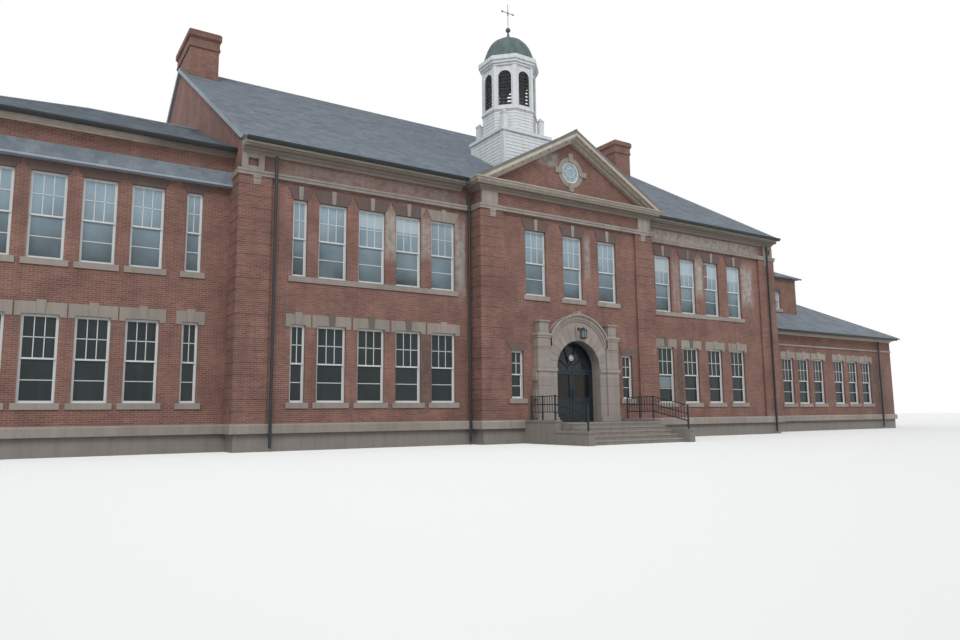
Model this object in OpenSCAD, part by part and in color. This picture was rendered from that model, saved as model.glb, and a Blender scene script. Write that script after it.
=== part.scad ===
// School building of brick with a pedimented entrance pavilion, a belfry and side wings.
// Half-size model in millimetres: one millimetre here is two on the real building.
// X runs right along the front from the entrance axis, Y runs into the building from the
// recessed front wall, and Z runs up from the ground.

/* [Main block] */
// From the entrance axis to the left end of the main block
main_left = 6980; // [6900:10:7400]
// From the entrance axis to the right end of the main block
main_right = 7430; // [7300:10:7800]
// Depth of the main block from front wall to rear wall
main_depth = 11880; // [11000:10:12600]
// Thickness of the brick outer walls
wall = 200; // [170:5:230]
// Pitch of the main roof in degrees
roof_pitch = 31.4; // [30:0.2:33]
// Thickness of a slated roof slope, square to the slope
roof_t = 90; // [70:5:110]

/* [Levels] */
// Height of the stone base above the ground
base_h = 350; // [300:10:420]
// Thickness of the ground floor
floor_t = 50; // [40:5:70]
// From ground floor to upper floor
storey_h = 2210; // [2150:10:2300]
// Thickness of the upper floor
upper_floor_t = 120; // [100:5:150]
// Window sill above the ground floor
sill_rise = 410; // [380:10:440]
// Window sill above the upper floor
upper_sill_rise = 395; // [370:5:420]
// Height of a ground floor window
window_h = 1345; // [1300:5:1380]
// Height of an upper floor window
upper_window_h = 1375; // [1340:5:1410]
// From the upper window heads to the stone string under the frieze
head_to_string = 300; // [280:5:340]
// Height of the stone string
string_h = 95; // [80:5:110]
// Height of the frieze between string and cornice
frieze_h = 285; // [260:5:320]
// Height of the main cornice
cornice_h = 210; // [180:5:240]
// Projection of the main cornice
cornice_out = 285; // [250:5:310]

/* [Windows] */
// Width of an ordinary window
window_w = 535; // [500:5:560]
// Width of the left wing's windows
wing_w = 500; // [480:5:510]
// Width of the slim window near the left end
slim_w = 260; // [240:5:280]
// Width of the windows beside the portal
side_w = 295; // [270:5:310]
// Left section: the window nearest the pavilion, from the axis
left_first = 3020; // [2950:10:3100]
// Left section: from one window to the next
left_pitch = 765; // [750:5:780]
// Left section: the slim window, from the left end of the main block
left_slim_in = 1050; // [980:10:1100]
// Right section: the window nearest the pavilion, from the axis
right_first = 3155; // [3100:10:3200]
// Right section: from one window to the next
right_pitch = 883; // [850:1:910]
// Windows in each side section of the front
side_count = 4; // [3:1:4]
// How far the window frames stand back from the brick face
reveal = 50; // [40:5:60]
// Width of a sash member
sash_w = 26; // [20:2:32]

/* [Pavilion] */
// Half the width of the entrance pavilion
pav_half = 2350; // [2300:10:2400]
// How far the pavilion stands before the front wall
pav_out = 360; // [330:10:400]
// Upper pavilion windows, from the axis
pav_window = 1000; // [960:10:1040]
// Windows beside the portal, from the axis
pav_side_window = 1510; // [1490:5:1560]
// Pitch of the pediment in degrees
pediment_pitch = 29.2; // [28:0.2:30]
// Half the width of the pediment at the eaves
pediment_half = 2590; // [2560:10:2650]
// Projection of the pediment cornice before the pavilion wall
pediment_out = 258; // [230:2:280]
// Radius of the round window in the pediment
oculus_r = 238; // [210:2:260]
// Width of the stone ring round that window
oculus_ring = 104; // [90:2:120]

/* [Portal and doors] */
// Half the width of the doorway between the stone jambs
door_half = 584; // [560:2:600]
// Height of the arch springing above the ground floor
spring_rise = 1120; // [1080:10:1160]
// Half the outer width of the stone portal
portal_half = 1164; // [1120:2:1190]
// How far the portal stands before the pavilion wall
portal_out = 115; // [100:5:140]
// Width of the wooden door frame
frame_w = 38; // [30:2:44]
// Thickness of a door leaf
leaf_t = 30; // [24:1:34]
// Running gap round the leaves
door_gap = 5; // [5:0.5:6]
// From the portal's front to the leaves
door_setback = 250; // [230:5:260]

/* [Steps] */
// Half the width of the steps between the cheek walls
steps_half = 1235; // [1200:5:1260]
// Depth of the landing before the portal
landing_d = 1050; // [950:10:1150]
// Going of one step
going = 155; // [145:1:165]
// Number of risers
risers = 5; // [4:1:6]
// Width of a cheek wall
cheek_w = 150; // [130:5:170]
// Height of a hand rail above the nosings
rail_h = 450; // [420:10:480]

/* [Belfry] */
// Distance of the belfry axis behind the front wall
belfry_y = 1900; // [1850:10:1950]
// Half the width of the square base
cupola_half = 690; // [660:5:710]
// Height of the square base's top above the main eaves
cupola_rise = 2021; // [1960:1:2080]
// Height of the octagonal pedestal on the base
pedestal_h = 595; // [560:5:630]
// Radius of the octagon over its corners
octagon_r = 670; // [650:5:685]
// Height of the open stage with the louvred arches
arcade_h = 1100; // [1050:10:1150]
// Thickness of the belfry walls
arcade_t = 70; // [60:2:80]
// Width of one louvred arch
arch_w = 320; // [300:5:330]
// Height of the arch openings to their crowns
arch_h = 874; // [850:2:900]
// Height of the belfry cornice
belfry_cornice_h = 230; // [210:5:250]
// Projection of the belfry cornice
belfry_cornice_out = 104; // [90:2:120]
// Radius of the copper dome at its foot
dome_r = 598; // [570:2:620]
// Height of the copper dome
dome_h = 789; // [760:1:820]
// Radius of the ball on the dome
ball_r = 62; // [55:1:70]
// Height of the rod over the ball
rod_h = 690; // [650:10:730]

/* [Chimneys] */
// Width of a chimney along the front
stack_w = 660; // [600:10:700]
// Depth of a chimney
stack_d = 1520; // [1400:10:1600]
// Height of a chimney above the ridge
stack_rise = 713; // [650:1:780]

/* [Left wing] */
// Length of the left wing's front
left_wing_w = 5370; // [5320:10:5600]
// The left wing's front behind the main front
left_back = 520; // [480:10:560]
// Depth of the left wing
left_depth = 6560; // [6300:10:6800]
// The left wing's first window, from the main block
wing_first_in = 1350; // [1320:10:1380]
// From one left wing window to the next
wing_pitch = 710; // [700:5:715]
// Windows in a storey of the left wing
wing_count = 6; // [4:1:6]
// Slim window of the left wing, from the main block
wing_slim_in = 620; // [580:10:660]
// Pitch of the wing roofs in degrees
wing_pitch_deg = 24; // [23:0.5:25]

/* [Right wings] */
// Length of the low wing's front
low_wing_w = 7580; // [7480:10:7800]
// The low wing's front behind the main front
low_back = 950; // [900:10:1000]
// Depth of the low wing
low_depth = 5700; // [5500:10:5900]
// Height of the low wing's walls above the ground floor
low_wall_h = 2450; // [2400:10:2500]
// Pitch of the low roof in degrees
low_pitch = 30; // [29:0.5:31]
// First window of the low wing, from the main block
low_first_in = 1880; // [1850:10:1910]
// From one low wing window to the next
low_pitch_x = 765; // [755:5:775]
// Windows in a group of the low wing
low_group = 3; // [2:1:3]
// From one group of windows to the next
low_group_pitch = 2625; // [2590:5:2650]
// Length of the two-storey block behind
block_l = 4065; // [4020:5:4110]
// Front of the two-storey block, behind the main front
block_back = 1995; // [1950:5:2050]
// Height of that block's walls above its upper floor
block_wall_h = 2190; // [2150:10:2230]

/* [Hidden] */
$fn = 64;
// Cuts run past the faces they go through by this much
over = 5;
// Clearance of a piece that is seated on another
seat_gap = 0.3;

floor_z = base_h + floor_t;
upper_z = floor_z + storey_h;
sill_z = floor_z + sill_rise;
upper_sill_z = upper_z + upper_sill_rise;
upper_head_z = upper_sill_z + upper_window_h;
string_z = upper_head_z + head_to_string;
frieze_z = string_z + string_h;
cornice_z = frieze_z + frieze_h;
eave_z = cornice_z + cornice_h;

// The ends of the wings, from the entrance axis
left_end = main_left + left_wing_w;
low_end = main_right + low_wing_w;
block_right = main_right + block_l;

// Main roof: the slates start at the cornice edge and end at the ridge over the middle.
ridge_y = main_depth / 2;
roof_rise = tan(roof_pitch);
roof_v = roof_t / cos(roof_pitch);
bearing_y = roof_v / roof_rise - cornice_out;
ridge_z = eave_z + roof_rise * (ridge_y + cornice_out);
wall_top = eave_z + roof_rise * -bearing_y;
roof_verge = 60;

// Pediment and the roof behind it
pediment_rise = tan(pediment_pitch);
apex_z = eave_z + pediment_rise * pediment_half;
pav_roof_t = 60;
pav_roof_v = pav_roof_t / cos(pediment_pitch);
pediment_front = -pav_out - pediment_out;
oculus_rise = 550;
oculus_z = eave_z + oculus_rise;
rake_h = 170;
rake_top = pav_roof_v + seat_gap;

// Depths of the stones let into the brick, and how far they stand proud
stone_in = 45;
stone_proud = 14;
sill_proud = 26;
sill_seat = 70;
sill_d = reveal + sill_seat;
sill_stone_h = 98;
sill_ear = 70;
lintel_h = 185;
lintel_ear = 96;
lintel_drop = 40;
key_rise = 32;
key_w = 84;
key_foot_share = 0.62;
key_head_share = 0.7;
brown_lintel_h = 210;
plain_lintel_h = 150;

// Sash windows
box_w = 12;
box_d = 60;
sash_t = 22;
glass_t = 4;

// Corner piers of banded brick
pier_w = 500;
end_pier_w = 520;
right_pier_w = 620;
pier_out = 48;
band_h = 169;
groove_h = 34;
groove_in = 26;
pier_rise = 111;
pier_foot = base_h + pier_rise;
string_proud = 22;
string_out = pier_out + string_proud;

// Water table of dressed stone round the foot of the walls
table_h = 162;
table_z = pier_foot - table_h;
table_out = 34;
table_slope = 30;

// Portal
spring_z = floor_z + spring_rise;
portal_y = -pav_out - portal_out;
arch_ring = 150;
capital_drop = 30;
capital_z = spring_z + door_half - capital_drop;
capital_h = 76;
block_h = 256;
hood_rise = 276;
hood_t = 90;
impost_h = 62;
impost_out = 26;
plinth_h = 110;
plinth_out = 30;
pilaster_out = 34;
pilaster_w = 200;

// Doors
leaf_y = portal_y + door_setback;
leaf_x = door_half - frame_w - door_gap;
transom_h = 48;
meeting_gap = 9;
leaf_h = spring_rise - transom_h - 2 * door_gap;
leaf_w = leaf_x - meeting_gap / 2;
frame_d = 90;
stile = 62;
lock_rail = 90;
kick_rail = 130;
panel_h = 300;
hinge_r = 7;
hinge_half_l = 26;
hinge_plate = 20;
hinge_plate_t = 2;
hinge_x = leaf_x + door_gap / 2;
hinge_clear = 1;
hinge_y = leaf_y - hinge_r - hinge_clear;
hinge_share = [0.1, 0.5, 0.86];
pull_h = 200;
pull_out = 30;
pull_r = 7;
fan_bar = 22;
fan_bars = 4;
fan_hub = 84;

// Steps, cheek walls and railings
riser_h = floor_z / risers;
landing_y = portal_y - landing_d;
steps_front = landing_y - going * (risers - 1);
cheek_cap_h = 40;
cheek_cap_out = 14;
cheek_above = 60;
bar = 16;
post = 26;

// Belfry
cupola_top = eave_z + cupola_rise;
cap_h = 76;
cap_out = 46;
pedestal_top = cupola_top + pedestal_h;
arcade_top = pedestal_top + arcade_h;
dome_z = arcade_top + belfry_cornice_h;
dome_top = dome_z + dome_h;
arch_rise = 95;
arch_z = pedestal_top + arch_rise;
octagon_flat = octagon_r * cos(22.5);
slat_count = 10;
slat_d = 52;
slat_t = 8;
slat_tilt = 38;
stile_w = 14;
louvre_d = 46;
cone_h = 150;
rod_r = 7;
sleeve_r = 14;
vane_half = 210;
vane_t = 8;
vane_drop = 290;
gores = 8;

// Wings
left_front = left_back;
left_rear = left_front + left_depth;
left_eave_drop = 45;
left_eave_z = eave_z - left_eave_drop;
wing_out = 190;
wing_roof_t = 80;
low_front = low_back;
low_rear = low_front + low_depth;
low_wall_z = floor_z + low_wall_h;
low_cornice_h = 119;
low_eave_z = low_wall_z + low_cornice_h;
low_out = 240;
low_roof_t = 80;
block_front = block_back;
block_cornice_h = 64;
block_eave_z = upper_z + block_wall_h + block_cornice_h;
block_out = 150;
block_pitch = 26;
pent_rise = 166;
pent_z = upper_head_z + pent_rise;
pent_h = 300;
pent_out = 150;
pent_edge = 40;
low_string_drop = 93;
low_string_z = upper_z - low_string_drop;

brick = "#7e4a3c";
limestone = "#c9bda6";
cream = "#d8c9a8";
slate = "#5d646e";
white_paint = "#e8e6df";
dark_paint = "#20292b";
copper_green = "#5f7f76";

// Section outlines drawn in the X Z plane, extruded from y0 by d into the building
module upright(y0, d) {
    translate([0, y0 + d, 0]) rotate([90, 0, 0]) linear_extrude(d) children();
}

// Section outlines drawn in the Y Z plane, extruded from x0 by d to the right
module along_x(x0, d) {
    translate([x0, 0, 0]) rotate([90, 0, 90]) linear_extrude(d) children();
}

// A box from its low corner to its high corner
module box(low, high) {
    translate(low) cube(high - low);
}

module both_sides() {
    children();
    mirror([1, 0, 0]) children();
}

// A window is [centre, width, sill height, height, style]
low_style = 1;
upper_style = 2;
plain_style = 3;

// A row of bays from first on, as far as the wall's end leaves room
function bays(first, pitch, count, w, limit) =
    [for (i = [0 : count - 1]) let (x = first + i * pitch)
        if (x + w / 2 + lintel_ear < limit) [x, w]];
function mirrored(row) = [for (b = row) [-b[0], b[1]]];
function low_row(row) = [for (b = row) [b[0], b[1], sill_z, window_h, low_style]];
function upper_row(row, style = upper_style) =
    [for (b = row) [b[0], b[1], upper_sill_z, upper_window_h, style]];
function both_rows(row, style = upper_style) = concat(low_row(row), upper_row(row, style));

left_slim = main_left - left_slim_in;
left_bays = concat(mirrored(bays(left_first, left_pitch, side_count, window_w,
    left_slim - slim_w / 2 - lintel_ear)), [[-left_slim, slim_w]]);
right_bays = bays(right_first, right_pitch, side_count, window_w, main_right - right_pier_w);
pav_upper_bays = [[-pav_window, window_w], [0, window_w], [pav_window, window_w]];
side_sill_rise = 80;
side_head_drop = 304;
side_h = window_h - side_sill_rise - side_head_drop;
pav_side_bays = [for (s = [-1, 1])
    [s * pav_side_window, side_w, sill_z + side_sill_rise, side_h, plain_style]];
wing_first = main_left + wing_first_in;
wing_bays = concat(mirrored(bays(wing_first, wing_pitch, wing_count, wing_w, left_end)),
    [[-main_left - wing_slim_in, slim_w]]);
low_first = main_right + low_first_in;
low_bays = [for (g = [0, 1]) each bays(low_first + g * low_group_pitch, low_pitch_x,
    low_group, window_w, low_end)];
// The block behind the low wing shows small windows over its roof.
block_w = 300;
block_h_win = 560;
block_sill_rise = 1240;
block_sill = upper_z + block_sill_rise;
block_share = [0.24, 0.5, 0.76];
block_row = [for (s = block_share)
    [main_right + s * (block_right - main_right), block_w, block_sill, block_h_win,
    plain_style]];

// The rear repeats the front's storeys with regular bays.
rear_count = 12;
rear_pitch = (main_left + main_right) / rear_count;
rear_bays = bays(rear_pitch / 2 - main_right, rear_pitch, rear_count, window_w, main_left);
left_rear_bays = bays(wing_first, wing_pitch, wing_count, wing_w, left_end);
low_rear_bays = mirrored(low_bays);
gable_count = 4;
left_gable_free = main_depth - left_rear;
right_gable_free = main_depth - low_rear;
left_gable_bays = mirrored(bays(left_rear + left_gable_free / gable_count / 2 + wing_out / 2,
    (left_gable_free - wing_out) / gable_count, gable_count, window_w, main_depth));
right_gable_bays = bays(low_rear + right_gable_free / gable_count / 2 + low_out / 2,
    (right_gable_free - low_out) / gable_count, gable_count, window_w, main_depth);
end_count = 5;
left_end_bays = mirrored(bays(left_front + left_depth / end_count / 2,
    left_depth / end_count, end_count, window_w, left_rear));
low_end_bays = bays(low_front + low_depth / end_count / 2, low_depth / end_count,
    end_count, window_w, low_rear);

// A face is [place, turn about Z, windows]: seen from outside, its x runs to the right
// and its y runs into the wall.
front_left_face = [[0, 0, 0], 0, both_rows(left_bays)];
front_right_face = [[0, 0, 0], 0, both_rows(right_bays)];
pavilion_face = [[0, -pav_out, 0], 0, concat(pav_side_bays, upper_row(pav_upper_bays))];
wing_face = [[0, left_front, 0], 0, both_rows(wing_bays, plain_style)];
low_face = [[0, low_front, 0], 0, low_row(low_bays)];
block_face = [[0, block_front, 0], 0, block_row];
rear_face = [[0, main_depth, 0], 180, both_rows(rear_bays)];
left_rear_face = [[0, left_rear, 0], 180, both_rows(left_rear_bays)];
low_rear_face = [[0, low_rear, 0], 180, low_row(low_rear_bays)];
block_rear_face = [[0, low_rear, 0], 180, [for (w = block_row) [-w[0], w[1], w[2], w[3], w[4]]]];
left_gable_face = [[-main_left, 0, 0], -90, both_rows(left_gable_bays)];
right_gable_face = [[main_right, 0, 0], 90, both_rows(right_gable_bays)];
left_end_face = [[-left_end, 0, 0], -90, both_rows(left_end_bays)];
low_end_face = [[low_end, 0, 0], 90, low_row(low_end_bays)];
FACES = [front_left_face, front_right_face, pavilion_face, wing_face, low_face, block_face,
    rear_face, left_rear_face, low_rear_face, block_rear_face, left_gable_face, right_gable_face,
    left_end_face, low_end_face];

module on_face(face) {
    translate(face[0]) rotate(face[1]) children();
}

// Outline of a stone lintel with ears beside the opening and a raised keystone
module stone_lintel_outline(w) {
    polygon([[-w / 2 - lintel_ear, -lintel_drop], [-w / 2, -lintel_drop], [-w / 2, 0],
        [w / 2, 0], [w / 2, -lintel_drop], [w / 2 + lintel_ear, -lintel_drop],
        [w / 2 + lintel_ear, lintel_h], [key_w * key_foot_share, lintel_h],
        [key_w * key_head_share, lintel_h + key_rise],
        [-key_w * key_head_share, lintel_h + key_rise],
        [-key_w * key_foot_share, lintel_h], [-w / 2 - lintel_ear, lintel_h]]);
}

// Upper lintels are flat arches that splay outwards.
module flat_arch_outline(w, h) {
    polygon([[-w / 2, 0], [w / 2, 0], [w / 2 + lintel_ear, h], [-w / 2 - lintel_ear, h]]);
}

module lintel_outline(win) {
    if (win[4] == low_style) stone_lintel_outline(win[1]);
    else flat_arch_outline(win[1], win[4] == upper_style ? brown_lintel_h : plain_lintel_h);
}

module lintel(win, proud) {
    translate([win[0], 0, win[2] + win[3]]) upright(-proud, stone_in + proud)
        lintel_outline(win);
}

module sill(win, proud) {
    half = win[1] / 2 + sill_ear;
    box([win[0] - half, -proud, win[2] - sill_stone_h], [win[0] + half, sill_d, win[2]]);
}

// The holes that a face's windows, sills and lintels need in the brick
module window_cuts(face) {
    for (win = face[2]) {
        box([win[0] - win[1] / 2, -over, win[2]],
            [win[0] + win[1] / 2, wall + over, win[2] + win[3]]);
        lintel(win, over);
        sill(win, over);
    }
}

module sash_ring(w, h, t) {
    rotate([90, 0, 0]) linear_extrude(t) difference() {
        square([w, h]);
        translate([sash_w, sash_w]) square([w - 2 * sash_w, h - 2 * sash_w]);
    }
}

// Box frame with the upper sash before the lower sash
module sash_window(win) {
    w = win[1];
    h = win[3];
    clear_w = w - 2 * box_w;
    sash_h = (h - 2 * box_w + sash_w) / 2;
    translate([win[0] - w / 2, reveal, win[2]]) {
        translate([0, box_d, 0]) rotate([90, 0, 0]) linear_extrude(box_d) difference() {
            square([w, h]);
            translate([box_w, box_w]) square([clear_w, h - 2 * box_w]);
        }
        translate([box_w, box_w / 2 + sash_t, h - box_w - sash_h])
            sash_ring(clear_w, sash_h, sash_t);
        translate([box_w, box_w / 2 + 2 * sash_t, box_w]) sash_ring(clear_w, sash_h, sash_t);
    }
}

module window_panes(win) {
    w = win[1] - 2 * box_w - 2 * sash_w;
    sash_h = (win[3] - 2 * box_w + sash_w) / 2;
    pane_h = sash_h - 2 * sash_w;
    x = win[0] - w / 2;
    y = reveal + box_w / 2 + (sash_t - glass_t) / 2;
    top_z = win[2] + win[3] - box_w - sash_w - pane_h;
    translate([x, y, top_z]) cube([w, glass_t, pane_h]);
    translate([x, y + sash_t, win[2] + box_w + sash_w]) cube([w, glass_t, pane_h]);
}

// A straight wall with its windows: x from x0 to x1 in the face's own frame
module face_wall(face, x0, x1, z0, z1) {
    on_face(face) difference() {
        box([x0, 0, z0], [x1, wall, z1]);
        window_cuts(face);
    }
}

module plan(left, right, front, rear) {
    translate([left, front]) square([right - left, rear - front]);
}

module stone_base() color(limestone) linear_extrude(base_h) {
    plan(-main_left, main_right, 0, main_depth);
    plan(-pav_half, pav_half, -pav_out, wall);
    plan(-left_end, wall - main_left, left_front, left_rear);
    plan(main_right - wall, low_end, low_front, low_rear);
}

module floor_slab(left, right, front, rear, top, t) {
    box([left, front, top - t], [right, rear, top]);
}

// The pavilion has a floor bay of its own before the main floor.
module main_floor(top, t) {
    floor_slab(wall - main_left, main_right - wall, wall, main_depth - wall, top, t);
    floor_slab(wall - pav_half, pav_half - wall, wall - pav_out, wall - seat_gap, top, t);
}

module floors() color("#8d7b63") {
    main_floor(floor_z, floor_t);
    main_floor(upper_z, upper_floor_t);
    floor_slab(wall - left_end, -main_left, left_front + wall, left_rear - wall,
        floor_z, floor_t);
    floor_slab(main_right, low_end - wall, low_front + wall, low_rear - wall,
        floor_z, floor_t);
    floor_slab(wall - left_end, -main_left, left_front + wall, left_rear - wall,
        upper_z, upper_floor_t);
    floor_slab(main_right, block_right, low_front + wall, low_rear - wall,
        upper_z, upper_floor_t);
}

module front_wall_left() color(brick)
    face_wall(front_left_face, -main_left, -pav_half, base_h, wall_top);

module front_wall_right() color(brick)
    face_wall(front_right_face, pav_half, main_right, base_h, wall_top);

over_half = door_half + arch_ring;

// The pavilion front beside the doorway, with its short return to the main wall
module pavilion_half_wall() {
    difference() {
        union() {
            box([-pav_half, -pav_out, base_h], [-over_half, wall - pav_out, eave_z]);
            box([-pav_half, -pav_out, base_h], [wall - pav_half, wall, eave_z]);
            box([-over_half - over, -pav_out, base_h], [-door_half, wall - pav_out, spring_z]);
        }
        on_face(pavilion_face) window_cuts(pavilion_face);
    }
}

module pavilion_wall_left() color(brick) pavilion_half_wall();

module pavilion_wall_right() color(brick) mirror([1, 0, 0]) pavilion_half_wall();

module pavilion_wall_over() color(brick) difference() {
    box([-over_half, -pav_out, spring_z], [over_half, wall - pav_out, eave_z]);
    upright(-pav_out - over, wall + 2 * over) translate([0, spring_z]) circle(door_half);
    on_face(pavilion_face) window_cuts(pavilion_face);
}

module rear_walls() color(brick) {
    face_wall(rear_face, -main_right, main_left, base_h, wall_top);
    face_wall(left_rear_face, main_left, left_end, base_h, left_wall_top);
    face_wall(low_rear_face, -low_end, -main_right, base_h, low_wall_top);
    face_wall(block_rear_face, -block_right, -main_right, low_wall_top + seat_gap,
        block_wall_top);
}

// Where each wing's wall meets the underside of its roof
function under_roof(eave, out, pitch, t) = eave + tan(pitch) * out - t / cos(pitch);
left_wall_top = under_roof(left_eave_z, wing_out, wing_pitch_deg, wing_roof_t);
low_wall_top = under_roof(low_eave_z, low_out, low_pitch, low_roof_t);
block_wall_top = under_roof(block_eave_z, block_out, block_pitch, wing_roof_t);

module gable_outline() {
    top_low = wall_top + roof_rise * wall;
    polygon([[wall, base_h], [main_depth - wall, base_h], [main_depth - wall, top_low],
        [ridge_y, ridge_z - roof_v], [wall, top_low]]);
}

stack_foot = 1150;
stack_seat = ridge_z - stack_foot;
stack_in = 50;

module stack_space(left, grow = 0) {
    box([left - grow, ridge_y - stack_d / 2 - grow, stack_seat],
        [left + stack_w + grow, ridge_y + stack_d / 2 + grow, ridge_z + stack_rise]);
}

left_stack_x = stack_in - main_left;
right_stack_x = main_right - stack_in - stack_w;

module end_walls() color(brick) {
    difference() {
        along_x(-main_left, wall) gable_outline();
        on_face(left_gable_face) window_cuts(left_gable_face);
        stack_space(left_stack_x);
    }
    difference() {
        along_x(main_right - wall, wall) gable_outline();
        on_face(right_gable_face) window_cuts(right_gable_face);
        stack_space(right_stack_x);
    }
    face_wall(left_end_face, wall - left_rear, -left_front - wall, base_h, left_wall_top);
    face_wall(low_end_face, low_front + wall, low_rear - wall, base_h, low_wall_top);
    box([block_right - wall, block_front + wall, upper_z],
        [block_right, low_rear - wall, block_wall_top]);
}

module wing_front_walls() color(brick) {
    face_wall(wing_face, -left_end, -main_left, base_h, left_wall_top);
    face_wall(low_face, main_right, low_end, base_h, low_wall_top);
    face_wall(block_face, main_right, block_right, upper_z, block_wall_top);
}

// A banded pier facing: a flat L in plan, recessed at every groove course
module pier_plan(w, d, out) {
    difference() {
        plan(-out, w, -out, d);
        plan(0, w + over, 0, d + over);
    }
}

module banded_pier(w, d, top) {
    pitch = band_h + groove_h;
    count = floor((top - pier_foot) / pitch);
    for (i = [0 : count - 1]) {
        z = pier_foot + i * pitch;
        translate([0, 0, z]) linear_extrude(band_h) pier_plan(w, d, pier_out);
        translate([0, 0, z + band_h]) linear_extrude(groove_h)
            pier_plan(w, d, pier_out - groove_in);
    }
    last = pier_foot + count * pitch;
    translate([0, 0, last]) linear_extrude(top - last) pier_plan(w, d, pier_out);
}

// An end pier's return stops where the wing's roof or gutter reaches the main block.
module notched_pier(w, wing_y, reach, z) {
    difference() {
        banded_pier(w, wing_y, string_z);
        box([-pier_out - over, wing_y - reach - seat_gap, z - seat_gap],
            [0, wing_y + over, string_z + over]);
    }
}

module corner_piers() color(brick) {
    both_sides() translate([-pav_half, -pav_out, 0]) banded_pier(pier_w, pav_out, string_z);
    translate([-main_left, 0, 0]) notched_pier(end_pier_w, left_front, pent_out, pent_z);
    translate([main_right, 0, 0]) mirror([1, 0, 0])
        notched_pier(right_pier_w, low_front, low_out + gutter_w, low_wall_z);
}

// Water table with a weathered top, along a face from x0 to x1
module water_table(x0, x1) {
    along_x(x0, x1 - x0) polygon([[0, table_z], [0, pier_foot],
        [-pier_out, pier_foot], [-pier_out - table_out, pier_foot - table_slope],
        [-pier_out - table_out, table_z]]);
}

module course(x0, x1, z, h, out) {
    box([x0, -out, z], [x1, 0, z + h]);
}

// The same mouldings on the left side of a block whose side face is at x
module on_side(x) {
    translate([x, 0, 0]) rotate(-90) children();
}

// Water table and string of one end of the main block, turned round its corner
module end_courses(end, run, wing_y, string_reach) {
    table_run = pier_out + table_out;
    translate([-end, 0, 0]) {
        water_table(-table_run, run);
        on_side(0) water_table(-wing_y, 0);
        course(-string_out, run, string_z, string_h, string_out);
        on_side(0) course(-string_reach, 0, string_z, string_h, string_out);
    }
}

frieze_block_w = 380;
module stone_courses() color(limestone) {
    table_run = pier_out + table_out;
    pav_edge = pav_half + pier_out;
    end_courses(main_left, main_left - pav_edge, left_front, left_front - pent_out - seat_gap);
    mirror([1, 0, 0]) end_courses(main_right, main_right - pav_edge, low_front,
        block_front - block_out - seat_gap);
    both_sides() on_face(pavilion_face) {
        water_table(-pav_half - table_run, -steps_half - cheek_w - cheek_cap_out);
        on_side(-pav_half) water_table(-pav_out, 0);
        on_side(-pav_half) course(-pav_out, 0, string_z, string_h, string_out);
        course(-pav_half, frieze_block_w - pav_half, frieze_z + over, frieze_h - 2 * over,
            pier_out);
    }
    on_face(pavilion_face) course(-pav_half - string_out, pav_half + string_out, string_z,
        string_h, string_out);
    on_face(wing_face) water_table(-left_end, -main_left - pier_out);
    on_face(low_face) water_table(main_right + pier_out, low_end);
    on_face(low_face) course(main_right + pier_out, low_end, low_string_z, string_h / 2,
        stone_proud * 2);
}

module window_lintels() color(limestone)
    for (face = FACES) on_face(face) for (win = face[2]) lintel(win, stone_proud);

module window_sills() color(limestone)
    for (face = FACES) on_face(face) for (win = face[2]) sill(win, sill_proud);

module window_frames() color(white_paint)
    for (face = FACES) on_face(face) for (win = face[2]) sash_window(win);

module window_glass() color("#39444a") {
    for (face = FACES) on_face(face) for (win = face[2]) window_panes(win);
    upright(leaf_y + (frame_d + fan_bar) / 2, glass_t) translate([0, spring_z])
        intersection() {
            circle(door_half - frame_w);
            translate([-door_half, 0]) square([2 * door_half, door_half]);
        }
    upright(-pav_out + stone_in / 2, glass_t) translate([0, oculus_z]) circle(oculus_r);
}

// Cornice outline: bed moulding, corona and cyma as shares of its projection and height
cornice_share = [[0, 0], [0.1, 0], [0.16, 0.2], [0.34, 0.3], [0.36, 0.4], [0.74, 0.42],
    [0.74, 0.66], [0.8, 0.7], [0.86, 0.84], [1, 0.92], [1, 1]];

module cornice_outline(out, h) {
    polygon(concat([for (p = cornice_share) [-p[0] * out, p[1] * h]], [[0, h]]));
}

module cornice_run(x0, x1, z, out, h) {
    along_x(x0, x1 - x0) translate([0, z]) cornice_outline(out, h);
}

module main_cornice() {
    return_x = pav_half + pediment_out;
    cornice_run(-main_left, -return_x, cornice_z, cornice_out, cornice_h);
    cornice_run(return_x, main_right, cornice_z, cornice_out, cornice_h);
    on_face(rear_face) cornice_run(-main_right, main_left, cornice_z, cornice_out, cornice_h);
}

module wing_cornices() {
    h = left_cornice_h;
    on_face(wing_face) cornice_run(-left_end, -main_left, left_cornice_z, wing_out, h);
    on_face(left_rear_face) cornice_run(main_left, left_end, left_cornice_z, wing_out, h);
    on_face(left_end_face) cornice_run(-left_rear, -left_front, left_cornice_z, wing_out, h);
    on_face(low_face) cornice_run(main_right, low_end, low_wall_z, low_out, low_cornice_h);
    on_face(low_rear_face) cornice_run(-low_end, -block_right, low_wall_z, low_out,
        low_cornice_h);
    on_face(low_end_face) cornice_run(low_front, low_rear, low_wall_z, low_out,
        low_cornice_h);
}
left_cornice_h = 120;
left_cornice_z = left_eave_z - left_cornice_h;

module cornices() color(cream) {
    main_cornice();
    wing_cornices();
}

gutter_h = 64;
gutter_w = 70;
// Ogee gutter outline as shares of its width and height
gutter_share = [[0, 0], [0.55, 0], [0.72, 0.3], [0.9, 0.5], [1, 0.85], [1, 1], [0.86, 1],
    [0.84, 0.5], [0.5, 0.16], [0.12, 0.16], [0.12, 1], [0, 1]];

module gutter_run(x0, x1, out, z) {
    along_x(x0, x1 - x0) translate([-out, z - gutter_h])
        polygon([for (p = gutter_share) [-p[0] * gutter_w, p[1] * gutter_h]]);
}

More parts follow.
